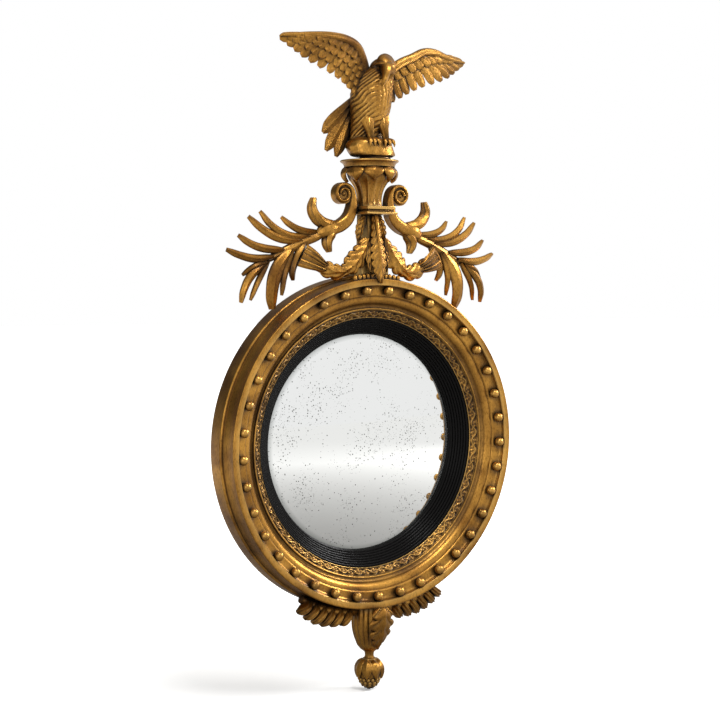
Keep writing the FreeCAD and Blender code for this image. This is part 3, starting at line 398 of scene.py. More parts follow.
@dataclass(frozen=True)
class PressedCork(Finish):
    """Pressed cork pads: warm brown granules about 2 mm across, fully dull."""

    name: str = "pressed_cork"
    pale: str = "B98B5A"
    dark: str = "6E4A2A"
    granule_mm: float = 2.0

    def inputs(self, nodes: Nodes) -> dict:
        """Adds the nodes and returns what feeds the shader."""
        cells = nodes.add("TexVoronoi", {"Vector": nodes.place(), "Scale": 1000 / self.granule_mm})
        tone = nodes.add("SeparateColor", {0: cells.outputs["Color"]}).outputs[0]
        return {
            "Base Color": nodes.ramp(tone, 0.1, linear(self.dark), 0.7, linear(self.pale)),
            "Roughness": 0.9,
        }


class Slot(Enum):
    """Material slots that the finishes belong to."""

    GILT = "gilt_wood"
    SLIP = "ebonised_slip"
    GLASS = "silvered_glass"
    PINE = "bare_pine"
    CORK = "cork"
    STEEL = "steel_fittings"


@dataclass(frozen=True)
class Paint:
    """A finish together with the slot that it belongs to."""

    material: bpy.types.Material
    slot: Slot


# ------------------------------------------------------------------ the bench


def only(piece: Object) -> None:
    """Selects one object and nothing else."""
    bpy.ops.object.select_all(action="DESELECT")
    piece.select_set(True)
    bpy.context.view_layer.objects.active = piece


def fresh(operator: Callable, name: str, **settings) -> Object:
    """Adds a primitive with its operator, and names it."""
    bpy.ops.object.select_all(action="DESELECT")
    operator(**settings)
    piece = bpy.context.object
    piece.name = name
    piece.data.name = name
    return piece


def placed(name: str, data: bpy.types.ID) -> Object:
    """Puts a new object with the given data into the scene."""
    piece = bpy.data.objects.new(name, data)
    bpy.context.scene.collection.objects.link(piece)
    return piece


@contextmanager
def editing(piece: Object, kind: str, action: str = "SELECT") -> Iterator[None]:
    """Opens a piece for editing, with everything selected or nothing, and closes it afterwards."""
    only(piece)
    bpy.ops.object.mode_set(mode="EDIT")
    bpy.ops.mesh.select_mode(type=kind)
    bpy.ops.mesh.select_all(action=action)
    yield
    bpy.ops.object.mode_set(mode="OBJECT")


def select_edges(piece: Object, wanted: Callable[[bmesh.types.BMEdge], bool]) -> None:
    """Selects the edges of an open piece that pass a test."""
    form = bmesh.from_edit_mesh(piece.data)
    for edge in form.edges:
        edge.select = wanted(edge)
    bmesh.update_edit_mesh(piece.data)


def worked(piece: Object, kind: str, **settings) -> None:
    """Gives a piece a modifier and applies it."""
    only(piece)
    tool = piece.modifiers.new("worked", kind)
    for name, value in settings.items():
        setattr(tool, name, value)
    bpy.ops.object.modifier_apply(modifier=tool.name)


def smoothed(piece: Object, degrees: float) -> None:
    """Shades a piece smooth, but for edges sharper than an angle."""
    only(piece)
    bpy.ops.object.shade_smooth_by_angle(angle=math.radians(degrees))


def coordinates(piece: Object) -> np.ndarray:
    """The mesh's points as an array."""
    points = np.empty(len(piece.data.vertices) * 3)
    piece.data.vertices.foreach_get("co", points)
    return points.reshape(-1, 3)


def place_points(piece: Object, points: np.ndarray) -> None:
    """Moves the mesh's points, which are given in millimetres."""
    piece.data.vertices.foreach_set("co", np.ascontiguousarray(points * MM, dtype=float).ravel())
    piece.data.update()


def ease(value: np.ndarray, start: float, run: float) -> np.ndarray:
    """Rises from 0 at start to 1 a run further on."""
    return np.clip((value - start) / run, 0, 1)


def smooth_values(keys: tuple, shares: np.ndarray) -> np.ndarray:
    """Reads a smooth line through evenly spaced values.

    Args:
        keys: the values from the root to the tip.
        shares: where to read, from 0 to 1.

    Returns:
        A value for each share.
    """
    given = np.asarray(keys, float)
    if len(given) == 1:
        return np.full(len(shares), given[0])
    padded = np.concatenate(([2 * given[0] - given[1]], given, [2 * given[-1] - given[-2]]))
    where = np.clip(shares, 0, 1) * (len(given) - 1)
    index = np.minimum(where.astype(int), len(given) - 2)
    f = where - index
    p0, p1, p2, p3 = (padded[index + k] for k in range(4))
    return 0.5 * (2 * p1 + (p2 - p0) * f + (2 * p0 - 5 * p1 + 4 * p2 - p3) * f ** 2
                  + (3 * p1 - p0 - 3 * p2 + p3) * f ** 3)


@dataclass(frozen=True)
class Blade:
    """The carved form of a blade, feather, leaf or strap. Half sizes in millimetres, root to tip."""

    widths: tuple[float, ...]
    thick: tuple[float, ...]
    square: float = 2.0         # 2 gives an oval section, more gives a boxier one
    ridge: float = 0.0          # height of the midrib
    hollow: float = 0.0         # how much of the back is hollowed away
    ribs: int = 0               # flutes that run the whole length
    rib_depth: float = 0.0
    lobes: float = 0.0          # lobes along each edge
    lobe_depth: float = 0.0     # how deep the edge is cut, as a share of the width
    vein_depth: float = 0.0
    vein_slant: float = 0.16    # how far towards the tip a vein runs on its way to the edge
    curl: float = 0.0           # how far the edges stand proud of the middle
    sides: int = 16
    cuts: int = 18
    least: tuple[float, float] = (0.15, 0.12)       # no half width and half thickness is smaller
    midrib: float = 0.16                            # the midrib's half width, as a share of the blade's
    lobe_start: float = 0.2                         # how far out the lobes' cuts start, as a share
    roundness: tuple[float, float] = (0.55, 0.6)    # of the lobes and of the veins, less is rounder

    def section(self, share: np.ndarray, angle: np.ndarray) -> tuple[np.ndarray, np.ndarray]:
        """Where the surface is across the blade.

        Args:
            share: position along the blade, 0 to 1.
            angle: position round the section; 0 is the right edge and a quarter turn is the front.

        Returns:
            Distance from the midrib and height, in millimetres.
        """
        power = 2 / self.square
        across, up = (np.sign(wave) * np.abs(wave) ** power for wave in (np.cos(angle), np.sin(angle)))
        side = np.abs(across)
        width = np.maximum(smooth_values(self.widths, share), self.least[0])
        height = up * np.maximum(smooth_values(self.thick, share), self.least[1])
        front = np.clip(up, 0, 1)
        if self.lobes:
            outline = np.abs(np.sin(np.pi * self.lobes * share)) ** self.roundness[0]
            edge = ease(side, self.lobe_start, 1 - self.lobe_start)
            width = width * (1 - self.lobe_depth * (1 - outline) * edge)
            phase = self.lobes * (share + self.vein_slant * (1 - side))
            vein = 1 - np.abs(np.sin(np.pi * phase)) ** self.roundness[1]
            height -= self.vein_depth * vein * np.sqrt(side) * front
        if self.ribs:
            rib = np.cos(np.pi * self.ribs * across)
            height += self.rib_depth * rib * np.sqrt(np.abs(up)) * np.sign(up)
        height += self.ridge * np.exp(-(across / self.midrib) ** 2) * front
        height = np.where(height < 0, height * (1 - self.hollow * (1 - side)), height)
        height += self.curl * side ** 2
        return across * width, height


def round_blade(*radii: float, **form) -> Blade:
    """A blade as thick as it is wide."""
    return Blade(widths=radii, thick=radii, **form)


class Bench:
    """The carver's bench: bars that are shaped, bent, joined and stood up."""

    def __init__(self) -> None:
        """Starts with no masters made."""
        self.masters: dict[tuple[int, int], bpy.types.Mesh] = {}

    def bar(self, sides: int, cuts: int) -> Object:
        """A round bar 1 long on +Z, with its sides cut into rings, copied from its master."""
        if (sides, cuts) not in self.masters:
            made = fresh(
                bpy.ops.mesh.primitive_cylinder_add, "master", vertices=sides, radius=1, depth=1,
                location=(0, 0, 0.5),
            )
            bpy.ops.object.transform_apply(location=True, rotation=True, scale=True)
            with editing(made, "EDGE", "DESELECT"):
                select_edges(made, lambda edge: abs(edge.verts[0].co.z - edge.verts[1].co.z) > 0.5)
                bpy.ops.mesh.subdivide(number_cuts=cuts)
            mesh = made.data.copy()
            mesh.use_fake_user = True
            self.masters[(sides, cuts)] = mesh
            bpy.data.objects.remove(made)
        return placed("bar", self.masters[(sides, cuts)].copy())

    def blade(self, form: Blade, spine: tuple[Point, ...], tilt: tuple[float, ...] = (0.0,)) -> Object:
        """A blade shaped on a straight bar and then bent along its spine.

        Args:
            form: the blade's carved form.
            spine: (x, height, proud) points from the root to the tip.
            tilt: how far the blade is rolled, in degrees, evenly spaced along it.

        Returns:
            The bent blade, lying on the bench.
        """
        bar = self.bar(form.sides, form.cuts)
        points = coordinates(bar)
        share, angle = points[:, 2], np.arctan2(points[:, 1], points[:, 0])
        across, height = form.section(share, angle)
        hub = np.hypot(points[:, 0], points[:, 1])
        length = sum(math.dist(a, b) for a, b in zip(spine, spine[1:]))
        place_points(bar, np.stack((share * length, -across * hub, height * hub), axis=1))
        grain = bar.data.attributes.new("grain", "FLOAT_VECTOR", "POINT")
        grain.data.foreach_set("vector", np.stack((share * length, across, height), axis=1).ravel())
        self.bend(bar, spine, tilt)
        return bar

    def bend(self, bar: Object, spine: tuple[Point, ...], tilt: tuple[float, ...]) -> None:
        """Bends a bar that lies along +X so that it follows a spine."""
        line = bpy.data.curves.new("spine", "CURVE")
        line.dimensions = "3D"
        line.twist_mode = "Z_UP"
        line.use_stretch = True
        line.use_deform_bounds = True
        line.resolution_u = 16
        run = line.splines.new("BEZIER")
        run.bezier_points.add(len(spine) - 1)
        rolls = smooth_values(tilt, np.linspace(0, 1, len(spine)))
        for knot, place, roll in zip(run.bezier_points, spine, rolls):
            knot.co = Vector(place) * MM
            knot.handle_left_type = knot.handle_right_type = "AUTO"
            knot.tilt = math.radians(roll)
        guide = placed("spine", line)
        worked(bar, "CURVE", object=guide, deform_axis="POS_X")
        bpy.data.objects.remove(guide)
        bpy.data.curves.remove(line)

    def joined(self, pieces: list[Object], name: str) -> Object:
        """Joins pieces into the first one."""
        only(pieces[0])
        for piece in pieces[1:]:
            piece.select_set(True)
        if len(pieces) > 1:
            bpy.ops.object.join()
        pieces[0].name = name
        pieces[0].data.name = name
        return pieces[0]

    def carved(self, name: str, parts: list[tuple]) -> Object:
        """Carves blades, joins them and stands them up against the wall.

        Args:
            name: the piece's name.
            parts: a form and a spine for each blade, and a tilt if it is rolled.

        Returns:
            The standing piece, with its shading smoothed.
        """
        piece = self.joined([self.blade(*part) for part in parts], name)
        piece.data.transform(Matrix.Rotation(math.pi / 2, 4, "X"))
        smoothed(piece, CARVED_ANGLE)
        return piece


BENCH = Bench()


def copy_of(piece: Object, name: str, move: Matrix) -> Object:
    """A copy with its own mesh, moved by a matrix; turned outwards again if the matrix mirrors it."""
    mesh = piece.data.copy()
    mesh.transform(move)
    if move.determinant() < 0:
        mesh.flip_normals()
    return placed(name, mesh)


def spread(piece: Object, name: str, moves: list[Matrix]) -> list[Object]:
    """Copies of a piece, one for each matrix, in place of the piece itself."""
    copies = [copy_of(piece, name, move) for move in moves]
    bpy.data.objects.remove(piece)
    return copies


def about(centre: Point, degrees: float, axis: str) -> Matrix:
    """A turn about an axis through a centre given in millimetres."""
    middle = Matrix.Translation([value * MM for value in centre])
    return middle @ Matrix.Rotation(math.radians(degrees), 4, axis) @ middle.inverted()


def ringed(piece: Object, count: int, first: float, name: str) -> Object:
    """Copies of a piece round the column's axis, joined into one."""
    moves = [about((0, COLUMN_Y, 0), first + 360 * i / count, "Z") for i in range(count)]
    return BENCH.joined(spread(piece, name, moves), name)


class Axis(Enum):
    """What a turned piece is turned about."""

    GLASS = "glass"
    COLUMN = "column"
    ROCK = "rock"


AXIS_Y = {Axis.GLASS: 0.0, Axis.COLUMN: COLUMN_Y, Axis.ROCK: -57.5}


def section_points(start: tuple, *steps: tuple, cuts: int = 8) -> list[tuple[float, float]]:
    """Corners of a section; a step is a corner, or a pair (through, end) for an arc."""
    found = [start]
    for step in steps:
        if not isinstance(step[0], tuple):
            found.append(step)
            continue
        a, b, c = (np.array(p, float) for p in (found[-1], *step))
        d = 2 * (a[0] * (b[1] - c[1]) + b[0] * (c[1] - a[1]) + c[0] * (a[1] - b[1]))
        ux = (a @ a * (b[1] - c[1]) + b @ b * (c[1] - a[1]) + c @ c * (a[1] - b[1])) / d
        uy = (a @ a * (c[0] - b[0]) + b @ b * (a[0] - c[0]) + c @ c * (b[0] - a[0])) / d
        centre = np.array((ux, uy))
        first, middle, last = (math.atan2(*(p - centre)[::-1]) for p in (a, b, c))
        sweep = (last - first) % FULL_TURN
        if (middle - first) % FULL_TURN > sweep:
            sweep -= FULL_TURN
        radius = float(np.linalg.norm(a - centre))
        for k in range(1, cuts + 1):
            t = first + sweep * k / cuts
            found.append((centre[0] + radius * math.cos(t), centre[1] + radius * math.sin(t)))
    return found


def turned(
    name: str, section: list[tuple[float, float]], axis: Axis, steps: int, shut: bool = True,
) -> Object:
    """Turns a section about an axis.

    Args:
        name: the piece's name.
        section: (radius, depth) for the glass's axis, (radius, height) for an upright one.
        axis: what it turns about.
        steps: how many facets go round.
        shut: False for a section whose two ends lie on the axis.

    Returns:
        The turned piece.
    """
    piece = fresh(
        bpy.ops.mesh.primitive_circle_add, name, vertices=len(section), radius=1, fill_type="NOTHING",
    )
    y, last = AXIS_Y[axis], len(section) - 1
    if axis is Axis.GLASS:
        points, direction = [(r, -depth, 0) for r, depth in section], (0, 1, 0)
    else:
        points, direction = [(r, y, z) for r, z in section], (0, 0, 1)
    place_points(piece, np.array(points))
    with editing(piece, "EDGE", "DESELECT"):
        if not shut:
            select_edges(piece, lambda edge: {v.index for v in edge.verts} == {0, last})
            bpy.ops.mesh.delete(type="EDGE")
        bpy.ops.mesh.select_all(action="SELECT")
        bpy.ops.mesh.spin(steps=steps, angle=FULL_TURN, center=(0, y * MM, 0), axis=direction)
        bpy.ops.mesh.select_all(action="SELECT")
        bpy.ops.mesh.remove_doubles(threshold=0.01 * MM)
        bpy.ops.mesh.normals_make_consistent(inside=False)
    smoothed(piece, TURNED_ANGLE)
    return piece


def cut_flat_behind(piece: Object, depth: float = WALL_GAP) -> None:
    """Cuts away what is less than a depth in front of the wall, and closes the cut."""
    with editing(piece, "EDGE"):
        bpy.ops.mesh.bisect(
            plane_co=(0, -depth * MM, 0), plane_no=(0, 1, 0), use_fill=True, clear_outer=True,
        )


def cut_in(piece: Object, depth: Callable[[np.ndarray, np.ndarray, np.ndarray], np.ndarray]) -> None:
    """Works an upright turned piece's surface in towards the column's axis, and cuts it flat behind.

    Args:
        piece: the turned piece.
        depth: gives how deep to cut, from the angle, the height and the radius of each point.
    """
    points = coordinates(piece) / MM
    dx, dy = points[:, 0], points[:, 1] - COLUMN_Y
    radius, angle = np.hypot(dx, dy), np.arctan2(dy, dx)
    scale = 1 - depth(angle, points[:, 2], radius) / np.maximum(radius, 1)
    points[:, 0], points[:, 1] = dx * scale, COLUMN_Y + dy * scale
    place_points(piece, points)
    cut_flat_behind(piece)


def drawn_out(name: str, rings: list[np.ndarray]) -> Object:
    """A closed form drawn out ring by ring: a disc whose face is extruded to each next ring.

    Args:
        name: the piece's name.
        rings: arrays of points in millimetres, all of the same length.

    Returns:
        The closed piece.
    """
    before = list(range(len(rings[0])))
    piece = fresh(
        bpy.ops.mesh.primitive_circle_add, name, vertices=len(before), radius=1, fill_type="NGON",
    )
    place_points(piece, np.array(rings[0]))
    with editing(piece, "FACE"):
        for ring in rings[1:]:
            bpy.ops.mesh.extrude_region_move(TRANSFORM_OT_translate={"value": (0, 0, 0)})
            form = bmesh.from_edit_mesh(piece.data)
            form.verts.ensure_lookup_table()
            after = []
            for index in before:
                old = form.verts[index]
                new = next(e.other_vert(old) for e in old.link_edges if e.other_vert(old).select)
                after.append(new.index)
            for index, place in zip(after, ring):
                form.verts[index].co = Vector(place) * MM
            bmesh.update_edit_mesh(piece.data)
            before = after
        bpy.ops.mesh.select_all(action="SELECT")
        bpy.ops.mesh.normals_make_consistent(inside=False)
    smoothed(piece, CARVED_ANGLE)
    return piece


def dressed(piece: Object, paint: Paint, *nodes: str) -> Object:
    """Gives a piece its finish and body, and puts it in the place of CAD nodes."""
    piece.data.materials.clear()
    piece.data.materials.append(paint.material)
    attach(piece, ROOT)
    if nodes:
        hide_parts(*nodes)
    LOG.info("%s: %d triangles", piece.name, sum(len(p.vertices) - 2 for p in piece.data.polygons))
    return piece


def handed(piece: Object, paint: Paint, name: str) -> None:
    """Dresses a right-hand piece and its mirror image for the left."""
    twin = copy_of(piece, name + "_carved_left", MIRROR_X)
    piece.name = name + "_carved_right"
    dressed(piece, paint, name + "_right")
    dressed(twin, paint, name + "_left")


# ------------------------------------------------------------------ the round frame


@dataclass
class RoundFrame:
    """Hoop, front moulding, balls, carved band, slip and glass."""

    gilt: Paint
    waxed_and_shaded: Paint
    slip: Paint
    glass: Paint
    steps: int = 256
    hoop_r: float = 316.7
    hoop_front: float = 37.0
    rim_r: float = 310.0
    rim_depth: float = 74.6
    panel_r: float = 244.2
    panel_thick: float = 5.0
    slip_r: float = 240.0
    bore_r: float = 222.0
    moulding_inner_r: float = 252.0
    carved_inner_r: float = 237.0
    ball_count: int = 37
    ball_r: float = 9.0
    ball_row_r: float = 287.6
    ball_depth: float = 70.0
    first_ball_angle: float = 4.6
    floor_depth: float = 61.4
    sight_r: float = 205.8
    sight_depth: float = 12.05
    reeds: int = 7
    reed_crown: tuple = (-1.05, 1.3)    # how far a reed's crown stands off the line between its ends
    glass_r: float = 214.0
    glass_thick: float = 3.0
    glass_sphere_r: float = 926.0
    leaf_count: int = 44
    relief: float = 5.0         # how deep the leaves of the carved band stand out
    pockets: tuple = (          # left, right, bottom, top and depth
        (-194.98, -164.98, 188.5, 239.5, 10.0), (164.98, 194.98, 188.5, 239.5, 10.0),
        (-14.0, 14.0, 284.0, 348.0, 3.0), (-14.0, 14.0, -346.0, -284.0, 3.0),
    )

    def build(self) -> None:
        """Makes every turned piece of the frame."""
        self.hoop()
        self.moulding()
        self.balls()
        self.carved_band()
        self.reeded_slip()
        self.convex_glass()

    def hoop(self) -> None:
        """The hoop, with the pockets for the hangers and plates cut into its back."""
        r, f = self.hoop_r, self.hoop_front
        section = section_points(
            (self.panel_r, 0), (r - 0.9, 0), (r, 1.2), ((r + 0.5, 17), (r, 32.5)),
            ((r - 0.9, 35.8), (312.4, f)),
            (self.slip_r + 0.2, f), (self.slip_r + 0.2, self.sight_depth),
            (self.bore_r, self.sight_depth),
            (self.bore_r, self.panel_thick), (self.panel_r, self.panel_thick),
        )
        hoop = turned("hoop_gilded", section, Axis.GLASS, self.steps)
        for x0, x1, z0, z1, depth in self.pockets:
            centre = ((x0 + x1) / 2 * MM, (1 - depth) / 2 * MM, (z0 + z1) / 2 * MM)
            cutter = fresh(bpy.ops.mesh.primitive_cube_add, "cutter", size=1, location=centre)
            cutter.scale = ((x1 - x0) * MM, (depth + 1) * MM, (z1 - z0) * MM)
            worked(hoop, "BOOLEAN", object=cutter, operation="DIFFERENCE")
            bpy.data.objects.remove(cutter)
        dressed(hoop, self.gilt, "frame_hoop")

    def moulding(self) -> None:
        """The front moulding: flat fillet, cove, ogee and bead."""
        inner, rim, depth = self.moulding_inner_r, self.rim_r, self.rim_depth
        section = section_points(
            (inner, self.hoop_front), (311.4, self.hoop_front), (311.4, 40.0),
            ((308.6, 56.0), (rim, 71.6)),
            ((rim - 0.6, 74.0), (rim - 2.6, depth)), (298.2, depth - 1.0), (297.0, depth - 2.6),
            ((294.9, 64.1), (290.6, self.floor_depth)), (281.4, self.floor_depth),
            ((278.6, 60.6), (276.6, 58.0)), ((271.2, 57.4), (263.6, 51.4)),
            ((259.8, 47.4), (256.2, 46.6)),
            (255.6, 49.0), ((inner + 1.8, 50.8), (inner, 49.0)),
        )
        dressed(
            turned("front_moulding_gilded", section, Axis.GLASS, self.steps), self.gilt, "front_moulding",
        )

    def balls(self) -> None:
        """Turned balls, flattened where they are glued to the cove's floor."""
        ball = fresh(
            bpy.ops.mesh.primitive_uv_sphere_add, "ball", segments=24, ring_count=14,
            radius=self.ball_r * MM,
        )
        cut_flat_behind(ball, self.floor_depth - self.ball_depth)
        smoothed(ball, 40)
        moves = []
        for i in range(self.ball_count):
            angle = math.radians(self.first_ball_angle + 360 * i / self.ball_count)
            place = Vector(
                (self.ball_row_r * math.sin(angle), -self.ball_depth, self.ball_row_r * math.cos(angle)),
            )
            moves.append(Matrix.Translation(place * MM))
        dressed(BENCH.joined(spread(ball, "ball", moves), "cove_balls_gilded"), self.gilt, "cove_balls")

    def carved_band(self) -> None:
        """The sloping band, carved all round with scrolling leaves and berries."""
        inner, outer = self.carved_inner_r, self.moulding_inner_r - 0.1
        slope = section_points(
            (inner, 39.4), (inner + 0.6, 40.4), ((245.0, 45.6), (outer - 0.6, 48.0)), cuts=15,
        )
        section = [(inner, self.hoop_front), *slope, (outer, 47.6), (outer, self.hoop_front)]
        band = turned("leaf_band_gilded", section, Axis.GLASS, self.leaf_count * 16)
        points = coordinates(band) / MM
        radius = np.hypot(points[:, 0], points[:, 2])
        angle = np.arctan2(points[:, 0], points[:, 2])
        along = ((angle / FULL_TURN * self.leaf_count) % 1.0) * 2 - 1
        across = (radius - inner) / (outer - inner)
        swing = np.sin(np.pi * along)
        stem = np.exp(-((across - 0.5 - 0.27 * swing) / 0.13) ** 2)
        fan = np.exp(-((across - 0.5 + 0.25 * swing) / 0.20) ** 2) * np.abs(np.sin(2.5 * np.pi * along))
        berry = np.exp(-((np.abs(along) - 0.5) / 0.13) ** 2 - ((across - 0.5) / 0.17) ** 2)
        relief = np.clip(np.maximum(np.maximum(stem, fan * 0.9), berry), 0, 1)
        seat = ease(across, 0.05, 0.12) * ease(-across, -0.97, 0.10)
        carved = (points[:, 1] < -38.5) & (across > 0.02) & (across < 0.99)
        drop = self.relief * (1 - relief) * seat
        points[:, 1] += np.where(carved, np.minimum(drop, -points[:, 1] - 38.2), 0)
        place_points(band, points)
        dressed(band, self.waxed_and_shaded, "carved_ring")

    def reeded_slip(self) -> None:
        """The black slip that steps down to the glass in fine reeds."""
        outer, inner = (self.carved_inner_r - 1.0, self.hoop_front), (
            self.sight_r + 1.4, self.sight_depth + 2.2,
        )
        ends = np.linspace(outer, inner, self.reeds + 1)
        steps = [
            (tuple((a + b) / 2 + np.array(self.reed_crown)), tuple(b)) for a, b in zip(ends, ends[1:])
        ]
        section = section_points(
            (self.sight_r, self.sight_depth), (self.slip_r, self.sight_depth),
            (self.slip_r, self.hoop_front),
            outer, *steps, (self.sight_r, self.sight_depth + 1.4), cuts=5,
        )
        dressed(turned("reeded_slip_black", section, Axis.GLASS, self.steps), self.slip, "reeded_slip")

    def glass_depth(self, radius: float) -> float:
        """How far the glass's front stands off the wall at a radius."""
        sphere = self.glass_sphere_r
        drop = math.sqrt(sphere ** 2 - self.sight_r ** 2)
        return self.sight_depth - drop + math.sqrt(sphere ** 2 - radius ** 2)

    def convex_glass(self) -> None:
        """The convex mirror, closed at its back and edge."""
        radii = np.linspace(0, self.glass_r, 29)
        front = [(float(r), self.glass_depth(r)) for r in radii]
        back = [(float(r), self.glass_depth(r) - self.glass_thick) for r in radii[::-2]]
        piece = turned("convex_glass_silvered", front + back, Axis.GLASS, 192, shut=False)
        dressed(piece, self.glass, "mirror_glass")


# ------------------------------------------------------------------ the crest


@dataclass
class Capital:
    """Tablet, bell, petals and abacus of the column."""

    gilt: Paint
    tablet_front: float = -50.0
    tablet_levels: tuple = (    # half width and height
        (34.0, 430.0), (34.0, 433.5), (28.9, 435.3), (28.3, 436.6), (28.9, 437.9), (31.0, 439.0),
        (31.0, 444.5),
    )
    bell_bottom: float = 444.5
    abacus_bottom: float = 519.0
    abacus_top: float = 531.5
    abacus_r: float = 55.0
    flute_count: int = 14
    flute_depth: float = 2.6
    petal_count: int = 8

    def build(self) -> None:
        """Makes the capital from the tablet up."""
        self.tablet()
        self.bell()
        self.petals()
        top = self.abacus_top
        section = section_points(
            (0, self.abacus_bottom), (47.6, self.abacus_bottom),
            ((49.6, 524.6), (self.abacus_r - 0.8, 528.2)),
            (self.abacus_r, 529.0), (self.abacus_r, top - 0.7), (self.abacus_r - 0.7, top), (0, top),
        )
        abacus = turned("abacus_gilded", section, Axis.COLUMN, 128, shut=False)
        cut_flat_behind(abacus)
        dressed(abacus, self.gilt, "abacus")

    def tablet(self) -> None:
        """The square tablet: a stack of levels drawn up from its lowest face."""
        rings = []
        for half, z in self.tablet_levels:
            front = self.tablet_front - half
            rings.append(np.array(
                ((-half, front, z), (half, front, z), (half, -WALL_GAP, z), (-half, -WALL_GAP, z)),
            ))
        piece = drawn_out("tablet_gilded", rings)
        worked(piece, "BEVEL", width=0.45 * MM, segments=2, limit_method="ANGLE")
        smoothed(piece, TURNED_ANGLE)
        dressed(piece, self.gilt, "crest_tablet")

    def bell(self) -> None:
        """The bell, with flutes worked into its turned surface."""
        section = section_points(
            (0, self.bell_bottom), (24.0, self.bell_bottom), (24.0, 448.0),
            ((25.5, 472.0), (38.0, 494.0)),
            ((42.0, 503.0), (43.0, self.abacus_bottom)), (0, self.abacus_bottom), cuts=14,
        )
        bell = turned("bell_gilded", section, Axis.COLUMN, self.flute_count * 12, shut=False)
        cut_in(bell, self.flutes)
        dressed(bell, self.gilt, "capital_bell")

    def flutes(self, angle: np.ndarray, height: np.ndarray, radius: np.ndarray) -> np.ndarray:
        """How deep the bell's flutes are; they fade out at its foot and under the abacus."""
        flute = np.abs(np.sin(angle * self.flute_count / 2)) ** 0.7
        fade = ease(height, 447, 5) * ease(-height, -505, 10)
        return self.flute_depth * flute * fade * (radius > 15)

    def petals(self) -> None:
        """Lotus petals that swell out below the abacus and turn in at their points."""
        form = Blade(
            widths=(17.4, 18.6, 18.8, 16.8, 12.4, 6.5, 0.9), thick=(2.8, 3.2, 3.4, 3.2, 2.8, 2.2, 1.2),
            ridge=1.2,
            curl=-2.8, sides=32, cuts=26,
        )
        depth = -COLUMN_Y
        spine = (
            (0, 518.6, depth + 41), (0, 513, depth + 48.0), (0, 506, depth + 50.6),
            (0, 499, depth + 48.6),
            (0, 490.5, depth + 41.5),
        )
        petal = BENCH.carved("petal", [(form, spine)])
        piece = ringed(petal, self.petal_count, 22.5, "petals_gilded")
        cut_flat_behind(piece)
        dressed(piece, self.gilt, "capital_petals")


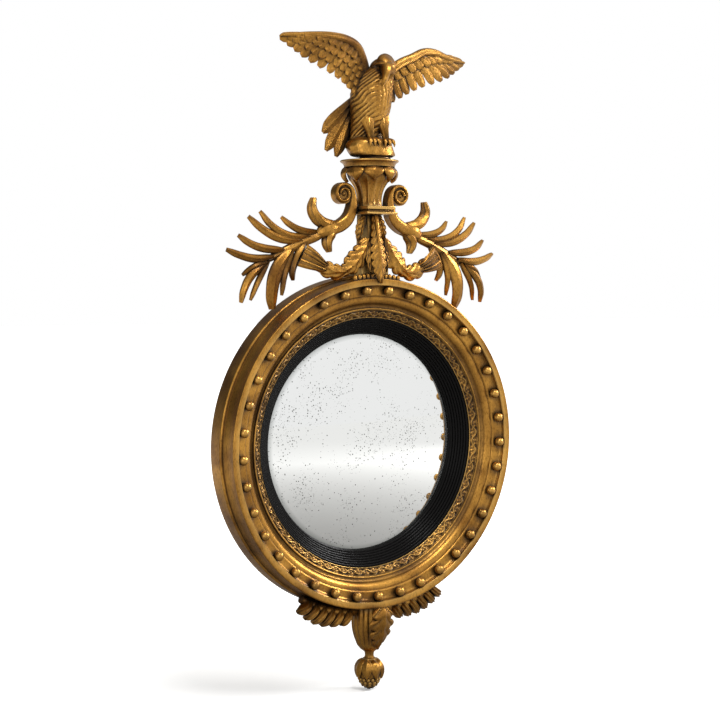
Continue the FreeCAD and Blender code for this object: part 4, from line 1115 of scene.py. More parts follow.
@dataclass
class SideOrnament:
    """A volute, its stem and husk, and the spray of long blades, on each side of the column."""

    gilt: Paint
    depth: float = 40.5
    volute_centre: tuple[float, float] = (63.0, 467.0)
    volute_r: float = 23.8
    turns: float = 1.5
    band_half: float = 3.0      # from the volute's outline to the middle of its band
    tightening: float = 0.40    # the last turn's radius as a share of the first's
    stem: tuple = ((91, 401.5), (78, 404), (64, 410.5), (50, 423), (42.5, 441), (41.2, 456))
    spray_stem: tuple = ((96, 399), (114, 388), (142, 378), (171, 364), (205, 349), (232, 333))
    spray_blades: tuple = (     # the line of each blade from its root, and its half width
        (((108, 395), (146, 397), (171, 408), (186, 422)), 6.0),
        (((130, 387), (176, 388), (210, 406), (230, 431)), 6.5),
        (((148, 379), (195, 383), (229, 399), (254, 421)), 7.0),
        (((186, 362), (228, 364), (253, 372), (275, 387)), 6.5),
        (((208, 349), (245, 345), (275, 351), (299, 361)), 6.5),
        (((221, 338), (246, 331), (267, 315)), 5.0),
        (((222, 340), (254, 313), (266, 290), (269, 266)), 7.0),
        (((216, 342), (240, 301), (250, 270)), 5.0),
        (((172, 361), (201, 322), (209, 284), (205, 254)), 12.0),
        (((166, 362), (183, 318), (185, 279)), 5.5),
        (((140, 376), (160, 344), (166, 324), (161, 307)), 7.0),
    )
    root_proud: float = 40.5
    tip_proud: float = 30.0

    def build(self) -> None:
        """Makes the right side and mirrors it."""
        handed(self.volute(), self.gilt, "scroll")
        handed(self.husk(), self.gilt, "husk")
        handed(self.spray(), self.gilt, "spray")

    def volute(self) -> Object:
        """The stem that sweeps up from the husk and winds into a volute with a round eye."""
        cx, cz = self.volute_centre
        spine = [(x, z, self.depth) for x, z in self.stem]
        count = int(self.turns * 12)
        for i in range(count + 1):
            share = i / count
            angle = FULL_TURN * self.turns * share
            radius = (self.volute_r - self.band_half) * self.tightening ** share
            spine.append(
                (cx - radius * math.cos(angle), cz + radius * math.sin(angle), self.depth + 2.0 * share),
            )
        band = Blade(
            widths=(12.0, 12.5, 12.5, 12.3, 12.0, 11.6, 11.2),
            thick=(10.5, 10.5, 7.4, 3.4, 2.8, 2.4, 2.0),
            square=4.5, ribs=3, rib_depth=0.8, sides=32, cuts=110,
        )
        web = round_blade(18.6, 18.6, sides=36, cuts=3)
        eye = round_blade(7.2, 7.2, 7.2, 6.4, 4.6, 0.4, sides=28, cuts=16)
        return BENCH.carved("scroll", [
            (band, tuple(spine), (-90.0,)),
            (web, ((cx, cz, self.depth - 8.5), (cx, cz + 0.01, self.depth + 7.6))),
            (eye, ((cx, cz, self.depth - 11.5), (cx, cz + 0.01, self.depth + 12.4))),
        ])

    def husk(self) -> Object:
        """The fluted calyx, with an upper and a lower horn."""
        y = self.depth
        cup = Blade(
            widths=(12.5, 14.0, 16.0, 16.0, 12.0, 5.0), thick=(10.5, 12.0, 14.0, 14.0, 10.0, 4.0),
            ribs=5, rib_depth=1.6, sides=48, cuts=30,
        )
        upper = Blade(
            widths=(10.0, 15.5, 17.0, 16.0, 13.5, 8.5), thick=(5.0, 8.5, 7.8, 6.0, 4.4, 2.4), ribs=3,
            rib_depth=2.3,
            sides=44, cuts=40,
        )
        lower = replace(upper, widths=(10.0, 15.0, 15.5, 13.0, 7.0), thick=(4.0, 7.6, 6.4, 4.6, 2.4))
        return BENCH.carved("husk", [
            (cup, ((70, 407.5, y), (84, 403, y), (98, 399, y), (116, 391, y)), (-90.0,)),
            (
                upper, ((82, 411, y), (100, 411.5, y), (117, 421, y), (127, 438, y), (124, 458, y)),
                (-90.0,),
            ),
            (lower, ((80, 400, y), (89, 391, y), (95, 377, y), (90, 359, y)), (90.0,)),
        ])

    def spray(self) -> Object:
        """A branch of long crescent blades, each with a crease down its middle."""
        runs = len(self.spray_stem) - 1
        fall = self.root_proud - self.tip_proud
        stem_line = tuple(
            (x, z, self.root_proud - fall * i / runs) for i, (x, z) in enumerate(self.spray_stem)
        )
        stem = Blade(
            widths=(6.5, 9.0, 10.0, 9.0, 7.0, 3.0), thick=(6.5, 6.5, 6.3, 6.0, 5.0, 2.5), ridge=1.0,
            cuts=30,
        )
        parts = [(stem, stem_line)]
        for points, half in self.spray_blades:
            last = len(points) - 1
            spine = tuple(
                (x, z, self.root_proud - 4 - (fall - 4) * i / last + 5 * math.sin(math.pi * i / last))
                for i, (x, z) in enumerate(points)
            )
            parts.append((Blade(
                widths=tuple(1.16 * half * s for s in (0.55, 0.85, 1.0, 1.04, 1.0, 0.92, 0.82, 0.50)),
                thick=(5.0, 5.6, 5.6, 5.2, 4.8, 4.4, 3.8, 2.0), ridge=1.9, hollow=0.6, curl=-1.0,
                sides=20, cuts=38,
            ), spine))
        return BENCH.carved("spray", parts)


@dataclass
class CrestLeaves:
    """The acanthus that dresses the post and lies on the hoop."""

    waxed_and_shaded: Paint
    reed_count: int = 11
    reed_step: float = 1.75     # degrees
    reed_line: tuple = (306.4, 313.0, 320.5)    # how far the reed's points are from the glass's axis
    reed_proud: float = 63.4

    def build(self) -> None:
        """Makes the hanging leaves, the arms on the hoop and the reeds."""
        self.centre_leaf()
        handed(self.arm(), self.waxed_and_shaded, "swag")
        handed(self.side_leaves(), self.waxed_and_shaded, "drop_leaf")
        self.reeds()

    def acanthus(
        self, widths: tuple, lobes: float, thick: float = 5.0, curl: float = 2.0, slant: float = 0.34,
    ) -> Blade:
        """The form of an acanthus leaf."""
        return Blade(
            widths=widths, thick=(thick, thick, thick * 0.9, thick * 0.8, thick * 0.4), lobes=lobes,
            lobe_depth=0.34,
            vein_depth=3.6, vein_slant=slant, ridge=2.4, curl=curl, sides=44, cuts=100,
        )

    def centre_leaf(self) -> None:
        """The long leaf that hangs from the tablet and turns over the rim."""
        long_leaf = self.acanthus(
            (5.5, 7.5, 11.0, 15.5, 18.0, 17.5, 12.0, 2.0), 9.0, 5.2, curl=-2.0, slant=0.2,
        )
        stem = Blade(widths=(4.0, 3.6, 2.6, 1.0), thick=(3.4, 3.2, 2.4, 1.0), cuts=16)
        dressed(BENCH.carved("centre_leaf_carved", [
            (long_leaf, ((0, 430, 57), (0, 388, 64), (0, 343, 73.5), (0, 318, 77.0), (0, 301.5, 80.5))),
            (stem, ((0, 429, 62), (0, 388, 69.6), (0, 343, 77.0))),
        ]), self.waxed_and_shaded, "drop_leaf_centre")

    def arm(self) -> Object:
        """The arm of leaves that starts at the post, dips on to the hoop and curls up."""
        near = self.acanthus((9.0, 15.0, 20.0, 21.0, 16.0, 3.0), 5.0, 6.5, curl=-3.0)
        far = self.acanthus((8.0, 14.0, 17.0, 15.0, 11.0, 5.0), 5.0, 7.0, curl=-2.5)
        rib = Blade(
            widths=(7.0, 9.0, 10.0, 10.0, 8.0, 5.0), thick=(7.0, 8.0, 8.0, 7.5, 6.5, 4.0), sides=20,
            cuts=40,
        )
        frill = Blade(
            widths=(6.0, 10.0, 14.0, 18.0, 21.0, 23.0), thick=(5.0, 5.4, 5.0, 4.4, 3.8, 3.2), ribs=5,
            rib_depth=1.5,
            curl=2.0, sides=56, cuts=30,
        )
        return BENCH.carved("swag", [
            (rib, (
                (19, 376, 55), (45, 345, 53), (74, 322, 51), (106, 327, 46), (134, 345, 42), (150, 355, 40),
            )),
            (far, ((52, 332, 54), (76, 322, 56), (104, 328, 53), (130, 346, 48), (145, 355, 45))),
            (near, ((19, 384, 58), (30, 364, 61), (44, 345, 62), (60, 330, 60), (78, 320, 55))),
            (frill, ((98, 328, 51), (116, 334, 55), (134, 343, 53), (151, 352, 46))),
        ])

    def side_leaves(self) -> Object:
        """Two narrow leaves beside the post."""
        upper = self.acanthus((5.0, 8.5, 9.5, 8.0, 2.0), 5.0, 5.0)
        lower = self.acanthus((4.5, 8.0, 8.5, 6.5, 1.5), 4.0, 4.5)
        return BENCH.carved("side_leaves", [
            (upper, ((15, 430, 44), (24, 408, 42.5), (29, 380, 42))),
            (lower, ((15, 384, 58), (18, 352, 64), (18, 322, 69))),
        ])

    def reeds(self) -> None:
        """Short upright reeds on the hoop, in front of the block."""
        reed = round_blade(4.4, 4.4, 4.4, 4.4, 3.8, 0.5, sides=16, cuts=14)
        row = []
        for i in range(self.reed_count):
            angle = math.radians(self.reed_step * (i - self.reed_count // 2))
            line = tuple(
                (r * math.sin(angle), r * math.cos(angle), self.reed_proud) for r in self.reed_line
            )
            row.append((reed, line))
        dressed(BENCH.carved("foot_reeds_carved", row), self.waxed_and_shaded, "foot_reeds")


# ------------------------------------------------------------------ the eagle


@dataclass
class Eagle:
    """The eagle that stands on its rock: body, head, wings, tail and legs."""

    gilt: Paint
    waxed_and_shaded: Paint
    feathered: Paint
    right_roots: tuple = ((26, 692), (66, 716), (106, 732), (152, 730))
    left_roots: tuple = ((26, 695), (60, 729), (104, 739), (152, 735))
    feather_tips: tuple = ((36, 640), (86, 667), (156, 693), (206, 726))
    # Rows of feathers: count, reach, length, half width, proud of the wing's middle, lean outwards.
    left_rows: tuple = (
        (12, 1.0, 0.85, 9.2, -2.4, 0.0), (13, 0.76, 0.66, 7.8, 0.2, 0.03),
        (13, 0.51, 0.51, 7.4, 2.6, 0.06),
        (12, 0.26, 0.26, 7.0, 4.6, 0.08),
    )
    right_rows: tuple = ((11, 1.0, 0.98, 9.4, -1.2, 0.0), (10, 0.36, 0.36, 8.6, 2.8, 0.05))
    right_edge: tuple = ((22, 690), (44, 710), (72, 724), (96, 736), (118, 738), (150, 732), (206, 728))
    left_edge: tuple = ((22, 692), (38, 718), (52, 733), (72, 740), (104, 742), (150, 738), (206, 730))
    edge_r: tuple = (8.5, 9.0, 8.0, 6.8, 5.0, 2.2)
    edge_proud: float = 4.0
    feather_lift: float = 2.0   # how far a feather's tip lifts off the wing
    least_feather: float = 17.0
    overlap: float = 0.8        # every other feather stands this much prouder
    plan: tuple = ((14, 56), (96, 74), (215, 52))   # the wing seen from above: x and proud
    shoulder: tuple = (-26, 700)
    left_wing_raise: float = 4.5
    rock_levels: tuple = (      # height, x, proud, half width, half depth
        (536.8, -2, 56, 37, 32), (539.5, -4, 54, 44, 37), (548, -6, 52, 46.5, 38),
        (557, -8, 51, 47, 37), (565, -8, 52, 42, 33), (573.0, -6, 50, 31, 20),
    )
    body_levels: tuple = (
        (558, -13, 43, 33, 19), (580, -9, 44, 35, 22), (602, -8, 49, 37, 27), (630, -7, 53, 41, 33),
        (660, -6, 57, 42, 33), (684, -2, 64, 35, 28), (700, 2, 73, 23, 20),
    )
    tail_root: tuple = (-24, 652, 30.0)
    tail_tips: tuple = ((-98, 579), (-80, 560), (-91, 546), (-53, 557), (-69, 536))
    leg_x: tuple = ((-21.0, "left"), (12.0, "right"))

    def build(self) -> None:
        """Makes the whole bird and its rock."""
        self.rock()
        self.body()
        self.head()
        self.wings()
        self.tail()
        for x, side in self.leg_x:
            self.leg(x, side)

    def rock(self) -> None:
        """The turned neck and the rough rock."""
        neck = turned("neck", section_points(
            (0, 531.5), (28.0, 531.5), ((29.2, 534.0), (28.0, 536.5)), (26.5, 538.0), (26.5, 541.0),
            (0, 541.0),
        ), Axis.ROCK, 96, shut=False)
        rings = self.oval_rings(self.rock_levels, 26, 72)
        for level, ring in enumerate(rings):
            for point in ring:
                lumps, grit = noise.noise(Vector(point) * 0.07), abs(noise.noise(Vector(point) * 0.2))
                rough = lumps * 2.6 + grit * 2.2 - 0.9
                point[:2] += (point[:2] - ring[:, :2].mean(0)) / 40 * rough * (0 < level < len(rings) - 1)
        stone = drawn_out("stone", rings)
        dressed(BENCH.joined([stone, neck], "rock_carved"), self.gilt, "rock_base")

    def oval_rings(self, levels: tuple, count: int, sides: int) -> list[np.ndarray]:
        """Level ovals through keys given as (height, x, proud, half width, half depth)."""
        shares = np.linspace(0, 1, count)
        z, x, proud, half_x, half_y = (smooth_values(column, shares) for column in zip(*levels))
        angle = np.linspace(0, FULL_TURN, sides, endpoint=False)
        return [
            np.stack((
                x[i] + half_x[i] * np.cos(angle), -proud[i] + half_y[i] * np.sin(angle),
                np.full(sides, z[i]),
            ), axis=1) for i in range(count)
        ]

    def body(self) -> None:
        """The body, cut with long sweeping locks of feathers."""
        count, sides = 140, 132
        rings = self.oval_rings(self.body_levels, count, sides)
        angle = np.linspace(0, FULL_TURN, sides, endpoint=False)
        for level, ring in enumerate(rings):
            share = level / (count - 1)
            turn = (angle - 0.5 * math.pi) % FULL_TURN - math.pi
            height = ring[0, 2]
            chest = np.exp(-((turn - 0.35) / 0.55) ** 2) * min(1.0, max(0.0, (height - 600) / 30))
            drift = 0.9 * math.sin(height / 17) + 0.5 * math.sin(height / 7.3)
            sweep = math.pi * (height / 10.5 - 2.3 * turn) + 0.9 * np.sin(turn * 4 + drift)
            lock = np.abs(np.sin(sweep)) ** 0.55
            sway = 0.9 * math.sin(height / 13) + 0.4 * math.sin(height / 5)
            plume = np.abs(np.sin(turn * 4.6 * math.pi + sway)) ** 0.6
            fine = np.abs(np.sin(sweep * 2.5 + turn * 3)) ** 0.8
            cut = (1 - chest) * (2.9 * (1 - lock) + 0.6 * (1 - fine)) + chest * 2.0 * (1 - plume)
            depth = cut * min(1.0, 8 * share, 6 * (1 - share))
            outward = ring[:, :2] - ring.mean(0)[:2]
            ring[:, :2] -= outward / np.linalg.norm(outward, axis=1)[:, None] * depth[:, None]
        dressed(drawn_out("body_carved", rings), self.waxed_and_shaded, "eagle_body")

    def head(self) -> None:
        """The bowed head: skull, brow, eyes and the hooked beak."""
        skull = Blade(
            widths=(21.0, 24.6, 25.4, 23.6, 17.5, 8.0), thick=(22.0, 21.8, 20.6, 18.0, 13.0, 7.0),
            sides=40, cuts=40,
        )
        beak = Blade(
            widths=(13.0, 11.5, 9.0, 6.6, 4.4, 0.8), thick=(12.0, 12.5, 10.5, 8.0, 5.0, 1.2), square=1.8,
            ridge=1.2,
            sides=28, cuts=30,
        )
        jaw = Blade(widths=(9.0, 7.5, 5.0, 1.2), thick=(5.5, 4.6, 3.2, 1.0), sides=20, cuts=16)
        brow = Blade(
            widths=(1.0, 2.2, 3.0, 3.4, 3.0, 2.2, 1.0), thick=(1.0, 1.8, 2.4, 2.8, 2.4, 1.8, 1.0),
            sides=16, cuts=36,
        )
        eye = round_blade(3.4, 3.4, 2.6, 0.3, sides=16, cuts=10)
        parts = [
            (skull, ((3, 688, 68), (4, 699, 80), (2, 700, 93), (-3, 692, 103))),
            (beak, ((0, 699, 94), (-5, 695, 104), (-10, 685, 110), (-14, 673, 110), (-15.5, 662, 104))),
            (jaw, ((-1, 688, 94), (-6, 682, 101), (-10, 673, 102))),
            (brow, (
                (-22, 699, 80), (-20, 704, 92), (-12, 704, 103), (-3, 702, 109), (8, 704, 104),
                (20, 705, 93),
                (26, 700, 82),
            )),
        ]
        parts += [(eye, ((12 * side, 696, 90), (19 * side, 696.5, 96))) for side in (-1, 1)]
        dressed(BENCH.carved("head_carved", parts), self.gilt, "eagle_head")

    def wing_proud(self, x: float) -> float:
        """How far the wing's middle stands off the wall at a distance from the body."""
        (x0, y0), (x1, y1), (x2, y2) = self.plan
        return (
            y0 * (x - x1) * (x - x2) / ((x0 - x1) * (x0 - x2))
            + y1 * (x - x0) * (x - x2) / ((x1 - x0) * (x1 - x2))
            + y2 * (x - x0) * (x - x1) / ((x2 - x0) * (x2 - x1))
        )

    def feather(self, root: np.ndarray, tip: np.ndarray, half: float, proud: float) -> tuple:
        """The form and spine of a feather that lies on the wing's curve and lifts at its tip."""
        form = Blade(
            widths=tuple(half * s for s in (0.80, 0.92, 0.98, 1.0, 1.02, 1.02, 1.0, 0.90, 0.45)),
            thick=(1.2, 1.3, 1.3, 1.3, 1.3, 1.3, 1.2, 1.1, 0.7), ridge=1.0, curl=-0.9, sides=16, cuts=20,
        )
        spine = []
        for share in (0.0, 0.5, 1.0):
            x, z = root + (tip - root) * share
            stand = self.wing_proud(float(x)) + proud + self.feather_lift * share
            spine.append((float(x), float(z), stand))
        return form, tuple(spine)

    def wing(self, name: str, rows: tuple, feather_roots: tuple, leading_edge: tuple) -> Object:
        """A right-hand wing: rows of feathers that overlap, under a rounded leading edge."""
        parts = []
        for count, reach, length, half, proud, lean in rows:
            shares = np.linspace(0.0, 1.0, count)
            roots = np.stack([smooth_values(column, shares) for column in zip(*feather_roots)], axis=1)
            tips = np.stack(
                [smooth_values(column, shares + lean) for column in zip(*self.feather_tips)], axis=1,
            )
            for i, (root, tip) in enumerate(zip(roots, tips)):
                way = tip - root
                end = root + way * reach
                run = max(np.linalg.norm(way) * length, self.least_feather)
                start = end - way / np.linalg.norm(way) * run
                parts.append(self.feather(start, end, half, proud + self.overlap * (i % 2)))
        edge = Blade(widths=self.edge_r, thick=tuple(r * 0.8 for r in self.edge_r), sides=24, cuts=48)
        parts.append((edge, tuple((x, z, self.wing_proud(x) + self.edge_proud) for x, z in leading_edge)))
        return BENCH.carved(name, parts)

    def wings(self) -> None:
        """Both wings; the left one has more and shorter rows of feathers and is raised a little."""
        right = self.wing("wing_carved_right", self.right_rows, self.right_roots, self.right_edge)
        copied = self.wing("wing_copied", self.left_rows, self.left_roots, self.left_edge)
        x, z = self.shoulder
        move = about((x, 0, z), self.left_wing_raise, "Y") @ MIRROR_X
        left = spread(copied, "wing_carved_left", [move])[0]
        dressed(right, self.feathered, "eagle_wing_right")
        dressed(left, self.feathered, "eagle_wing_left")

    def tail(self) -> None:
        """The fan of long tail feathers, in two layers."""
        x0, z0, proud = self.tail_root
        form = Blade(
            widths=(4.5, 6.0, 8.0, 10.0, 12.0, 13.4, 13.4, 11.2, 3.4),
            thick=(3.4, 3.4, 3.2, 2.8, 2.6, 2.4, 2.0, 1.6, 0.9), ridge=1.6, curl=-1.8, sides=20, cuts=44,
        )
        parts = []
        for i, (x, z) in enumerate(self.tail_tips):
            rise = 2.4 - 2.4 * (i % 2)
            middle = ((x0 + x) / 2, (z0 + z) / 2, proud + rise)
            parts.append((form, ((x0, z0, proud), middle, (x, z, proud + rise - 0.5))))
        dressed(BENCH.carved("tail_carved", parts), self.feathered, "eagle_tail")

    def leg(self, x: float, side: str) -> None:
        """A feathered thigh, a shank and three toes with claws."""
        thigh = round_blade(17.0, 14.0, 9.0, 6.4, 6.0, ribs=6, rib_depth=0.7, sides=36, cuts=30)
        toe = Blade(
            widths=(4.6, 4.2, 3.8, 4.0, 2.4, 0.8), thick=(4.6, 4.4, 3.8, 4.0, 2.2, 0.8), sides=14,
            cuts=18,
        )
        parts = [(thigh, ((x, 612, 57), (x, 592, 68), (x, 576, 75), (x, 561, 77)))]
        for way in (-1, 0, 1):
            line = ((2, 567, 74), (7, 566.5, 83), (9.5, 561, 89.5), (10, 554, 90))
            parts.append((toe, tuple((x + out * way, z, proud) for out, z, proud in line)))
        dressed(BENCH.carved("leg_carved_" + side, parts), self.gilt, "eagle_leg_" + side)


# ------------------------------------------------------------------ the apron


@dataclass
class Apron:
    """The cup under the hoop, its leaf, the gadrooned sides and the bud."""

    gilt: Paint
    reed_count: int = 16
    reed_depth: float = 2.4
    lobe_count: int = 6
    first_lobe_angle: float = 9.0       # degrees from straight below the glass
    lobe_step: float = 3.25
    petal_count: int = 8
    berry_r: float = 3.9
    berry_rows: tuple = (       # count, radius and height
        (14, 18.6, -449.5), (12, 16.2, -455.5), (9, 12.2, -460.8), (5, 6.8, -464.8), (1, 0.0, -466.9),
    )

    def build(self) -> None:
        """Makes the apron from the cup down."""
        self.cup()
        self.leaf()
        handed(self.gadroons(), self.gilt, "apron_gadroon")
        neck = turned("pendant_neck_gilded", section_points(
            (0, -396), (11.0, -396), ((8.6, -402), (9.6, -409)), (12.4, -410.6), (12.6, -411.5),
            (0, -411.5),
        ), Axis.COLUMN, 64, shut=False)
        dressed(neck, self.gilt, "pendant_neck")
        self.bud()
        self.berries()

    def cup(self) -> None:
        """The turned cup, reeded from its lip to its foot and cut flat behind."""
        section = section_points(
            (0, -300), (31.0, -300), (32.5, -318), ((34.4, -343), (26.5, -377)),
            ((21.0, -388), (12.0, -396)),
            (0, -396), cuts=14,
        )
        cup = turned("cup_carved", section, Axis.COLUMN, self.reed_count * 12, shut=False)
        cut_in(cup, self.reeding)
        dressed(cup, self.gilt, "apron_calyx")

    def reeding(self, angle: np.ndarray, height: np.ndarray, radius: np.ndarray) -> np.ndarray:
        """How deep the hollows between the cup's reeds are; they fade out at its lip and foot."""
        hollow = (1 - np.abs(np.cos(angle * self.reed_count / 2))) ** 1.4
        return self.reed_depth * hollow * ease(-height, 308, 6) * ease(height, -388, 8)

    def leaf(self) -> None:
        """The acanthus leaf on the front of the cup."""
        form = Blade(
            widths=(17.0, 26.0, 28.0, 24.0, 16.0, 3.0), thick=(5.0, 6.4, 6.2, 5.4, 2.4), lobes=4.0,
            lobe_depth=0.50,
            vein_depth=6.4, vein_slant=0.34, ridge=2.0, curl=-4.0, sides=56, cuts=96,
        )
        spine = ((-3, -306, 88), (-3, -318, 92), (-3, -340, 88), (-2, -364, 80), (0, -388, 65))
        dressed(BENCH.carved("cup_leaf_carved", [(form, spine)]), self.gilt, "apron_leaf")

    def gadroons(self) -> Object:
        """The curved rib and its row of lobes, along the hoop's underside."""
        def rim(angle: float, radius: float, proud: float) -> Point:
            return (
                radius * math.sin(math.radians(angle)), -radius * math.cos(math.radians(angle)), proud,
            )

        rib = Blade(widths=(9.0, 13.0, 13.0, 8.0), thick=(10.0, 15.0, 15.0, 9.0), sides=24, cuts=30)
        lobe = Blade(
            widths=(7.0, 8.4, 9.2, 9.4, 8.4, 3.0), thick=(10.0, 12.0, 13.4, 13.0, 10.5, 3.5), ribs=3,
            rib_depth=1.6,
            sides=40, cuts=30,
        )
        parts = [(rib, tuple(rim(a, r, 37) for a, r in ((5, 318), (12, 322), (20, 323), (28, 319))))]
        for i in range(self.lobe_count):
            angle = self.first_lobe_angle + self.lobe_step * i
            reach = 340.0 + 14.0 * math.sin(math.pi * (i + 0.8) / (self.lobe_count + 0.6))
            parts.append(
                (lobe, (rim(angle, 316, 34), rim(angle + 1.0, 332, 45), rim(angle + 2.6, reach, 40))),
            )
        return BENCH.carved("gadroons", parts)

    def bud(self) -> None:
        """The egg wrapped in petals that part over the berries."""
        egg = turned("egg", section_points(
            (0, -411.5), (12.0, -411.5), ((21.6, -430), (17.0, -452)), (0, -452), cuts=16,
        ), Axis.COLUMN, 72, shut=False)
        form = Blade(
            widths=(5.6, 8.8, 10.4, 10.4, 8.2, 4.2, 0.6), thick=(2.0, 2.8, 3.0, 3.0, 2.6, 2.2, 1.2),
            ridge=1.0, curl=-1.6, sides=28, cuts=34,
        )
        spine = tuple(
            (0, z, r - COLUMN_Y) for r, z in ((13.0, -413.5), (21.5, -420.5), (25.6, -433), (22.6, -449))
        )
        petal = BENCH.carved("bud_petal", [(form, spine)])
        petals = ringed(petal, self.petal_count, 0.0, "bud_petals")
        dressed(BENCH.joined([egg, petals], "bud_carved"), self.gilt, "pendant_bud")

    def berries(self) -> None:
        """The cluster of berries at the bud's end."""
        berry = fresh(
            bpy.ops.mesh.primitive_uv_sphere_add, "berry", segments=16, ring_count=10,
            radius=self.berry_r * MM,
        )
        bpy.ops.object.shade_smooth()
        core = section_points((0, -446), (17.0, -446), ((14.5, -459), (0, -466)))
        heart = turned("heart", core, Axis.COLUMN, 40, shut=False)
        moves = []
        for count, row_r, z in self.berry_rows:
            for i in range(count):
                angle = FULL_TURN * i / count
                place = Vector((row_r * math.cos(angle), COLUMN_Y + row_r * math.sin(angle), z)) * MM
                moves.append(Matrix.Translation(place))
        cluster = [heart, *spread(berry, "berry", moves)]
        dressed(BENCH.joined(cluster, "berries_carved"), self.gilt, "pendant_berries")


# ------------------------------------------------------------------ what stays from the frame


@dataclass
class BackFittings:
    """The CAD nodes whose shapes are right, which only get their finish."""

    finishes: dict[str, Paint]

    def build(self) -> None:
        """Gives each node its finish."""
        for name, paint in self.finishes.items():
            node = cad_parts[name]
            node.data.materials.clear()
            node.data.materials.append(paint.material)
            LOG.info("%s keeps its shape", name)


# ------------------------------------------------------------------ the studio


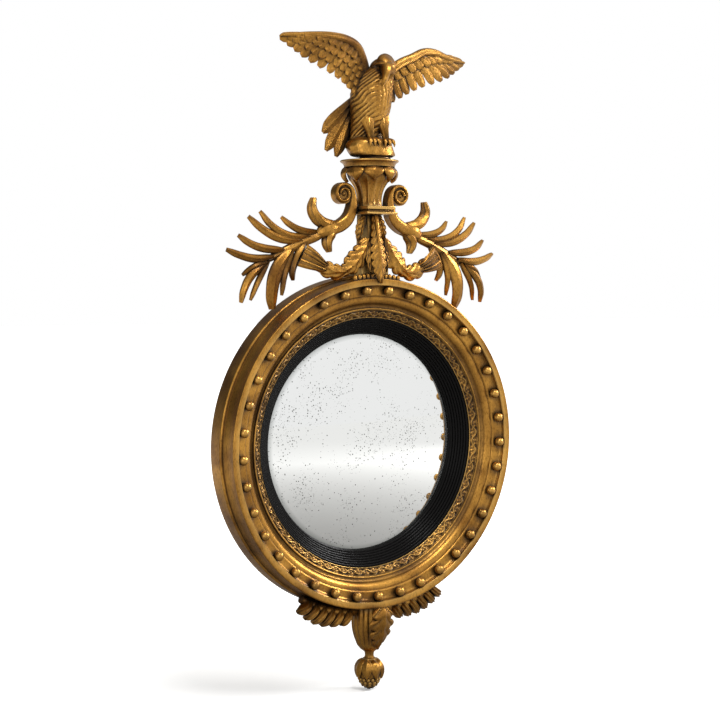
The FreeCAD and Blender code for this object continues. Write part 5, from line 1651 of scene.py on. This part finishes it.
@dataclass
class Studio:
    """Pale floor, soft lights and the camera."""

    camera_place: Point = (-1555.3, -2407.8, 282.7)
    camera_target: Point = (-34.7, -60.0, 158.6)
    lens_mm: float = 75.1
    floor_z: float = -0.4715
    floor: str = "FBFBFA"
    floor_shade: str = "9C9B99"     # how dark the floor is to everything but the camera
    floor_fade: tuple = (0.5, 1.5)  # metres over which it brightens into the backdrop
    floor_glow: tuple = (0.25, 1.0)     # its own light as the camera sees it, near and far
    floor_cast: tuple = (0.0, 0.86)     # and as everything else does, up to cast_reach times as far
    cast_reach: float = 1.6
    aim: Point = (0, -0.05, 0.1)
    lamps: tuple = (            # name, place in metres, size, watts
        ("key", (2.9, -1.25, 1.6), 1.0, 92.0), ("fill", (-2.6, -1.9, 0.7), 1.2, 12.0),
        ("top", (-0.3, -1.5, 2.6), 0.8, 36.0),
    )
    sky_way: Point = (0.42, -0.86, 0.28)            # towards the sky's brightest part
    sky_span: Span = (-0.9, 0.95, 0.12, 1.06)       # from facing away to facing it, and the strengths

    def build(self) -> None:
        """Sets up everything round the object."""
        self.ground()
        self.lights()
        self.world()
        self.camera()

    def ground(self) -> None:
        """A pale floor just below the bud."""
        plane = fresh(
            bpy.ops.mesh.primitive_plane_add, "studio_floor", size=60, location=(0, 0, self.floor_z),
        )
        material = bpy.data.materials.new("matt_white_floor")
        nodes = Nodes(material)
        seen = nodes.add("LightPath").outputs["Is Camera Ray"]
        far = nodes.add("VectorMath", {0: nodes.place()}, operation="LENGTH").outputs["Value"]
        near, beyond = self.floor_fade
        shown = nodes.span(far, near, beyond, *self.floor_glow)
        cast = nodes.span(far, near, self.cast_reach * beyond, *self.floor_cast)
        nodes.feed(nodes.shader, {
            "Base Color": nodes.mix(seen, linear(self.floor_shade), linear(self.floor)),
            "Roughness": 1.0,
            "Specular IOR Level": 0.0,
            "Emission Color": linear(self.floor),
            "Emission Strength": nodes.blend(seen, cast, shown),
        })
        plane.data.materials.append(material)

    def pointed(self, holder: Object, place: Vector, target: Vector) -> Object:
        """Puts a lamp or a camera in its place and points it at a target, both in metres."""
        holder.location = place
        holder.rotation_euler = (target - place).to_track_quat("-Z", "Y").to_euler()
        return holder

    def lights(self) -> None:
        """A large key from the right, a weaker fill from the left and a lift from above."""
        for name, place, size, watts in self.lamps:
            lamp = bpy.data.lights.new(name, "AREA")
            lamp.size = size
            lamp.energy = watts
            self.pointed(placed(name, lamp), Vector(place), Vector(self.aim))

    def world(self) -> None:
        """A white backdrop, with light that is stronger in front than behind and to the left."""
        bpy.context.scene.view_settings.view_transform = "Standard"
        world = bpy.data.worlds.new("studio")
        bpy.context.scene.world = world
        nodes = Nodes(world, "Background")
        facing = nodes.add(
            "VectorMath", {0: nodes.place("Generated"), 1: self.sky_way}, operation="DOT_PRODUCT",
        ).outputs["Value"]
        low, high, behind, ahead = self.sky_span
        glow = nodes.add(
            "MapRange", {0: facing, 1: low, 2: high, 3: behind, 4: ahead},
            interpolation_type="SMOOTHSTEP",
        ).outputs[0]
        seen = nodes.add("LightPath").outputs["Is Camera Ray"]
        nodes.feed(nodes.shader, {"Strength": nodes.blend(seen, glow, 1.0), "Color": grey(1.0)})

    def camera(self) -> None:
        """The camera at the photograph's angle."""
        lens = bpy.data.cameras.new("camera")
        lens.lens = self.lens_mm
        lens.sensor_width = 36.0
        lens.clip_end = 100.0
        place, target = Vector(self.camera_place) * MM, Vector(self.camera_target) * MM
        bpy.context.scene.camera = self.pointed(placed("camera", lens), place, target)


def main() -> None:
    """Builds every sub-assembly in order."""
    logging.basicConfig(level=logging.INFO, format="%(name)s: %(message)s")
    gilt = Paint(WaterGilding().make(), Slot.GILT)
    feathers = WaterGilding(name="water_gilding_feathers", barb_mm=3.2, barb_depth_mm=0.8)
    feathered = Paint(feathers.make(), Slot.GILT)
    # painted shade: this gilding's wax colour reaches less far and builds up faster, darkening the hollows
    # of the carved band, crest leaves, reeds and eagle body more
    in_hollows = WaterGilding(name="water_gilding_wax_and_painted_shade", wax_and_shade_reach_mm=6.0, wax_and_shade_power=3.2)
    waxed_and_shaded = Paint(in_hollows.make(), Slot.GILT)
    slip = Paint(EbonisedSlip().make(), Slot.SLIP)
    glass = Paint(FoxedSilvering().make(), Slot.GLASS)
    pine = Paint(BarePine().make(), Slot.PINE)
    steel = Paint(ZincedSteel().make(), Slot.STEEL)
    cork = Paint(PressedCork().make(), Slot.CORK)
    Studio().build()
    RoundFrame(gilt=gilt, waxed_and_shaded=waxed_and_shaded, slip=slip, glass=glass).build()
    Capital(gilt=gilt).build()
    SideOrnament(gilt=gilt).build()
    CrestLeaves(waxed_and_shaded=waxed_and_shaded).build()
    Eagle(gilt=gilt, waxed_and_shaded=waxed_and_shaded, feathered=feathered).build()
    Apron(gilt=gilt).build()
    BackFittings({
        "crest_block": gilt, "back_panel": pine, "dowels": pine, "glass_pads": cork,
        "back_panel_screws": steel, "hanger_screws": steel, "plate_screws": steel, "crest_plate": steel,
        "apron_plate": steel, "hanger_strap_left": steel, "hanger_strap_right": steel,
        "hanger_ring_left": steel, "hanger_ring_right": steel,
    }).build()
    bpy.context.view_layer.update()


if __name__ == "__main__":
    main()
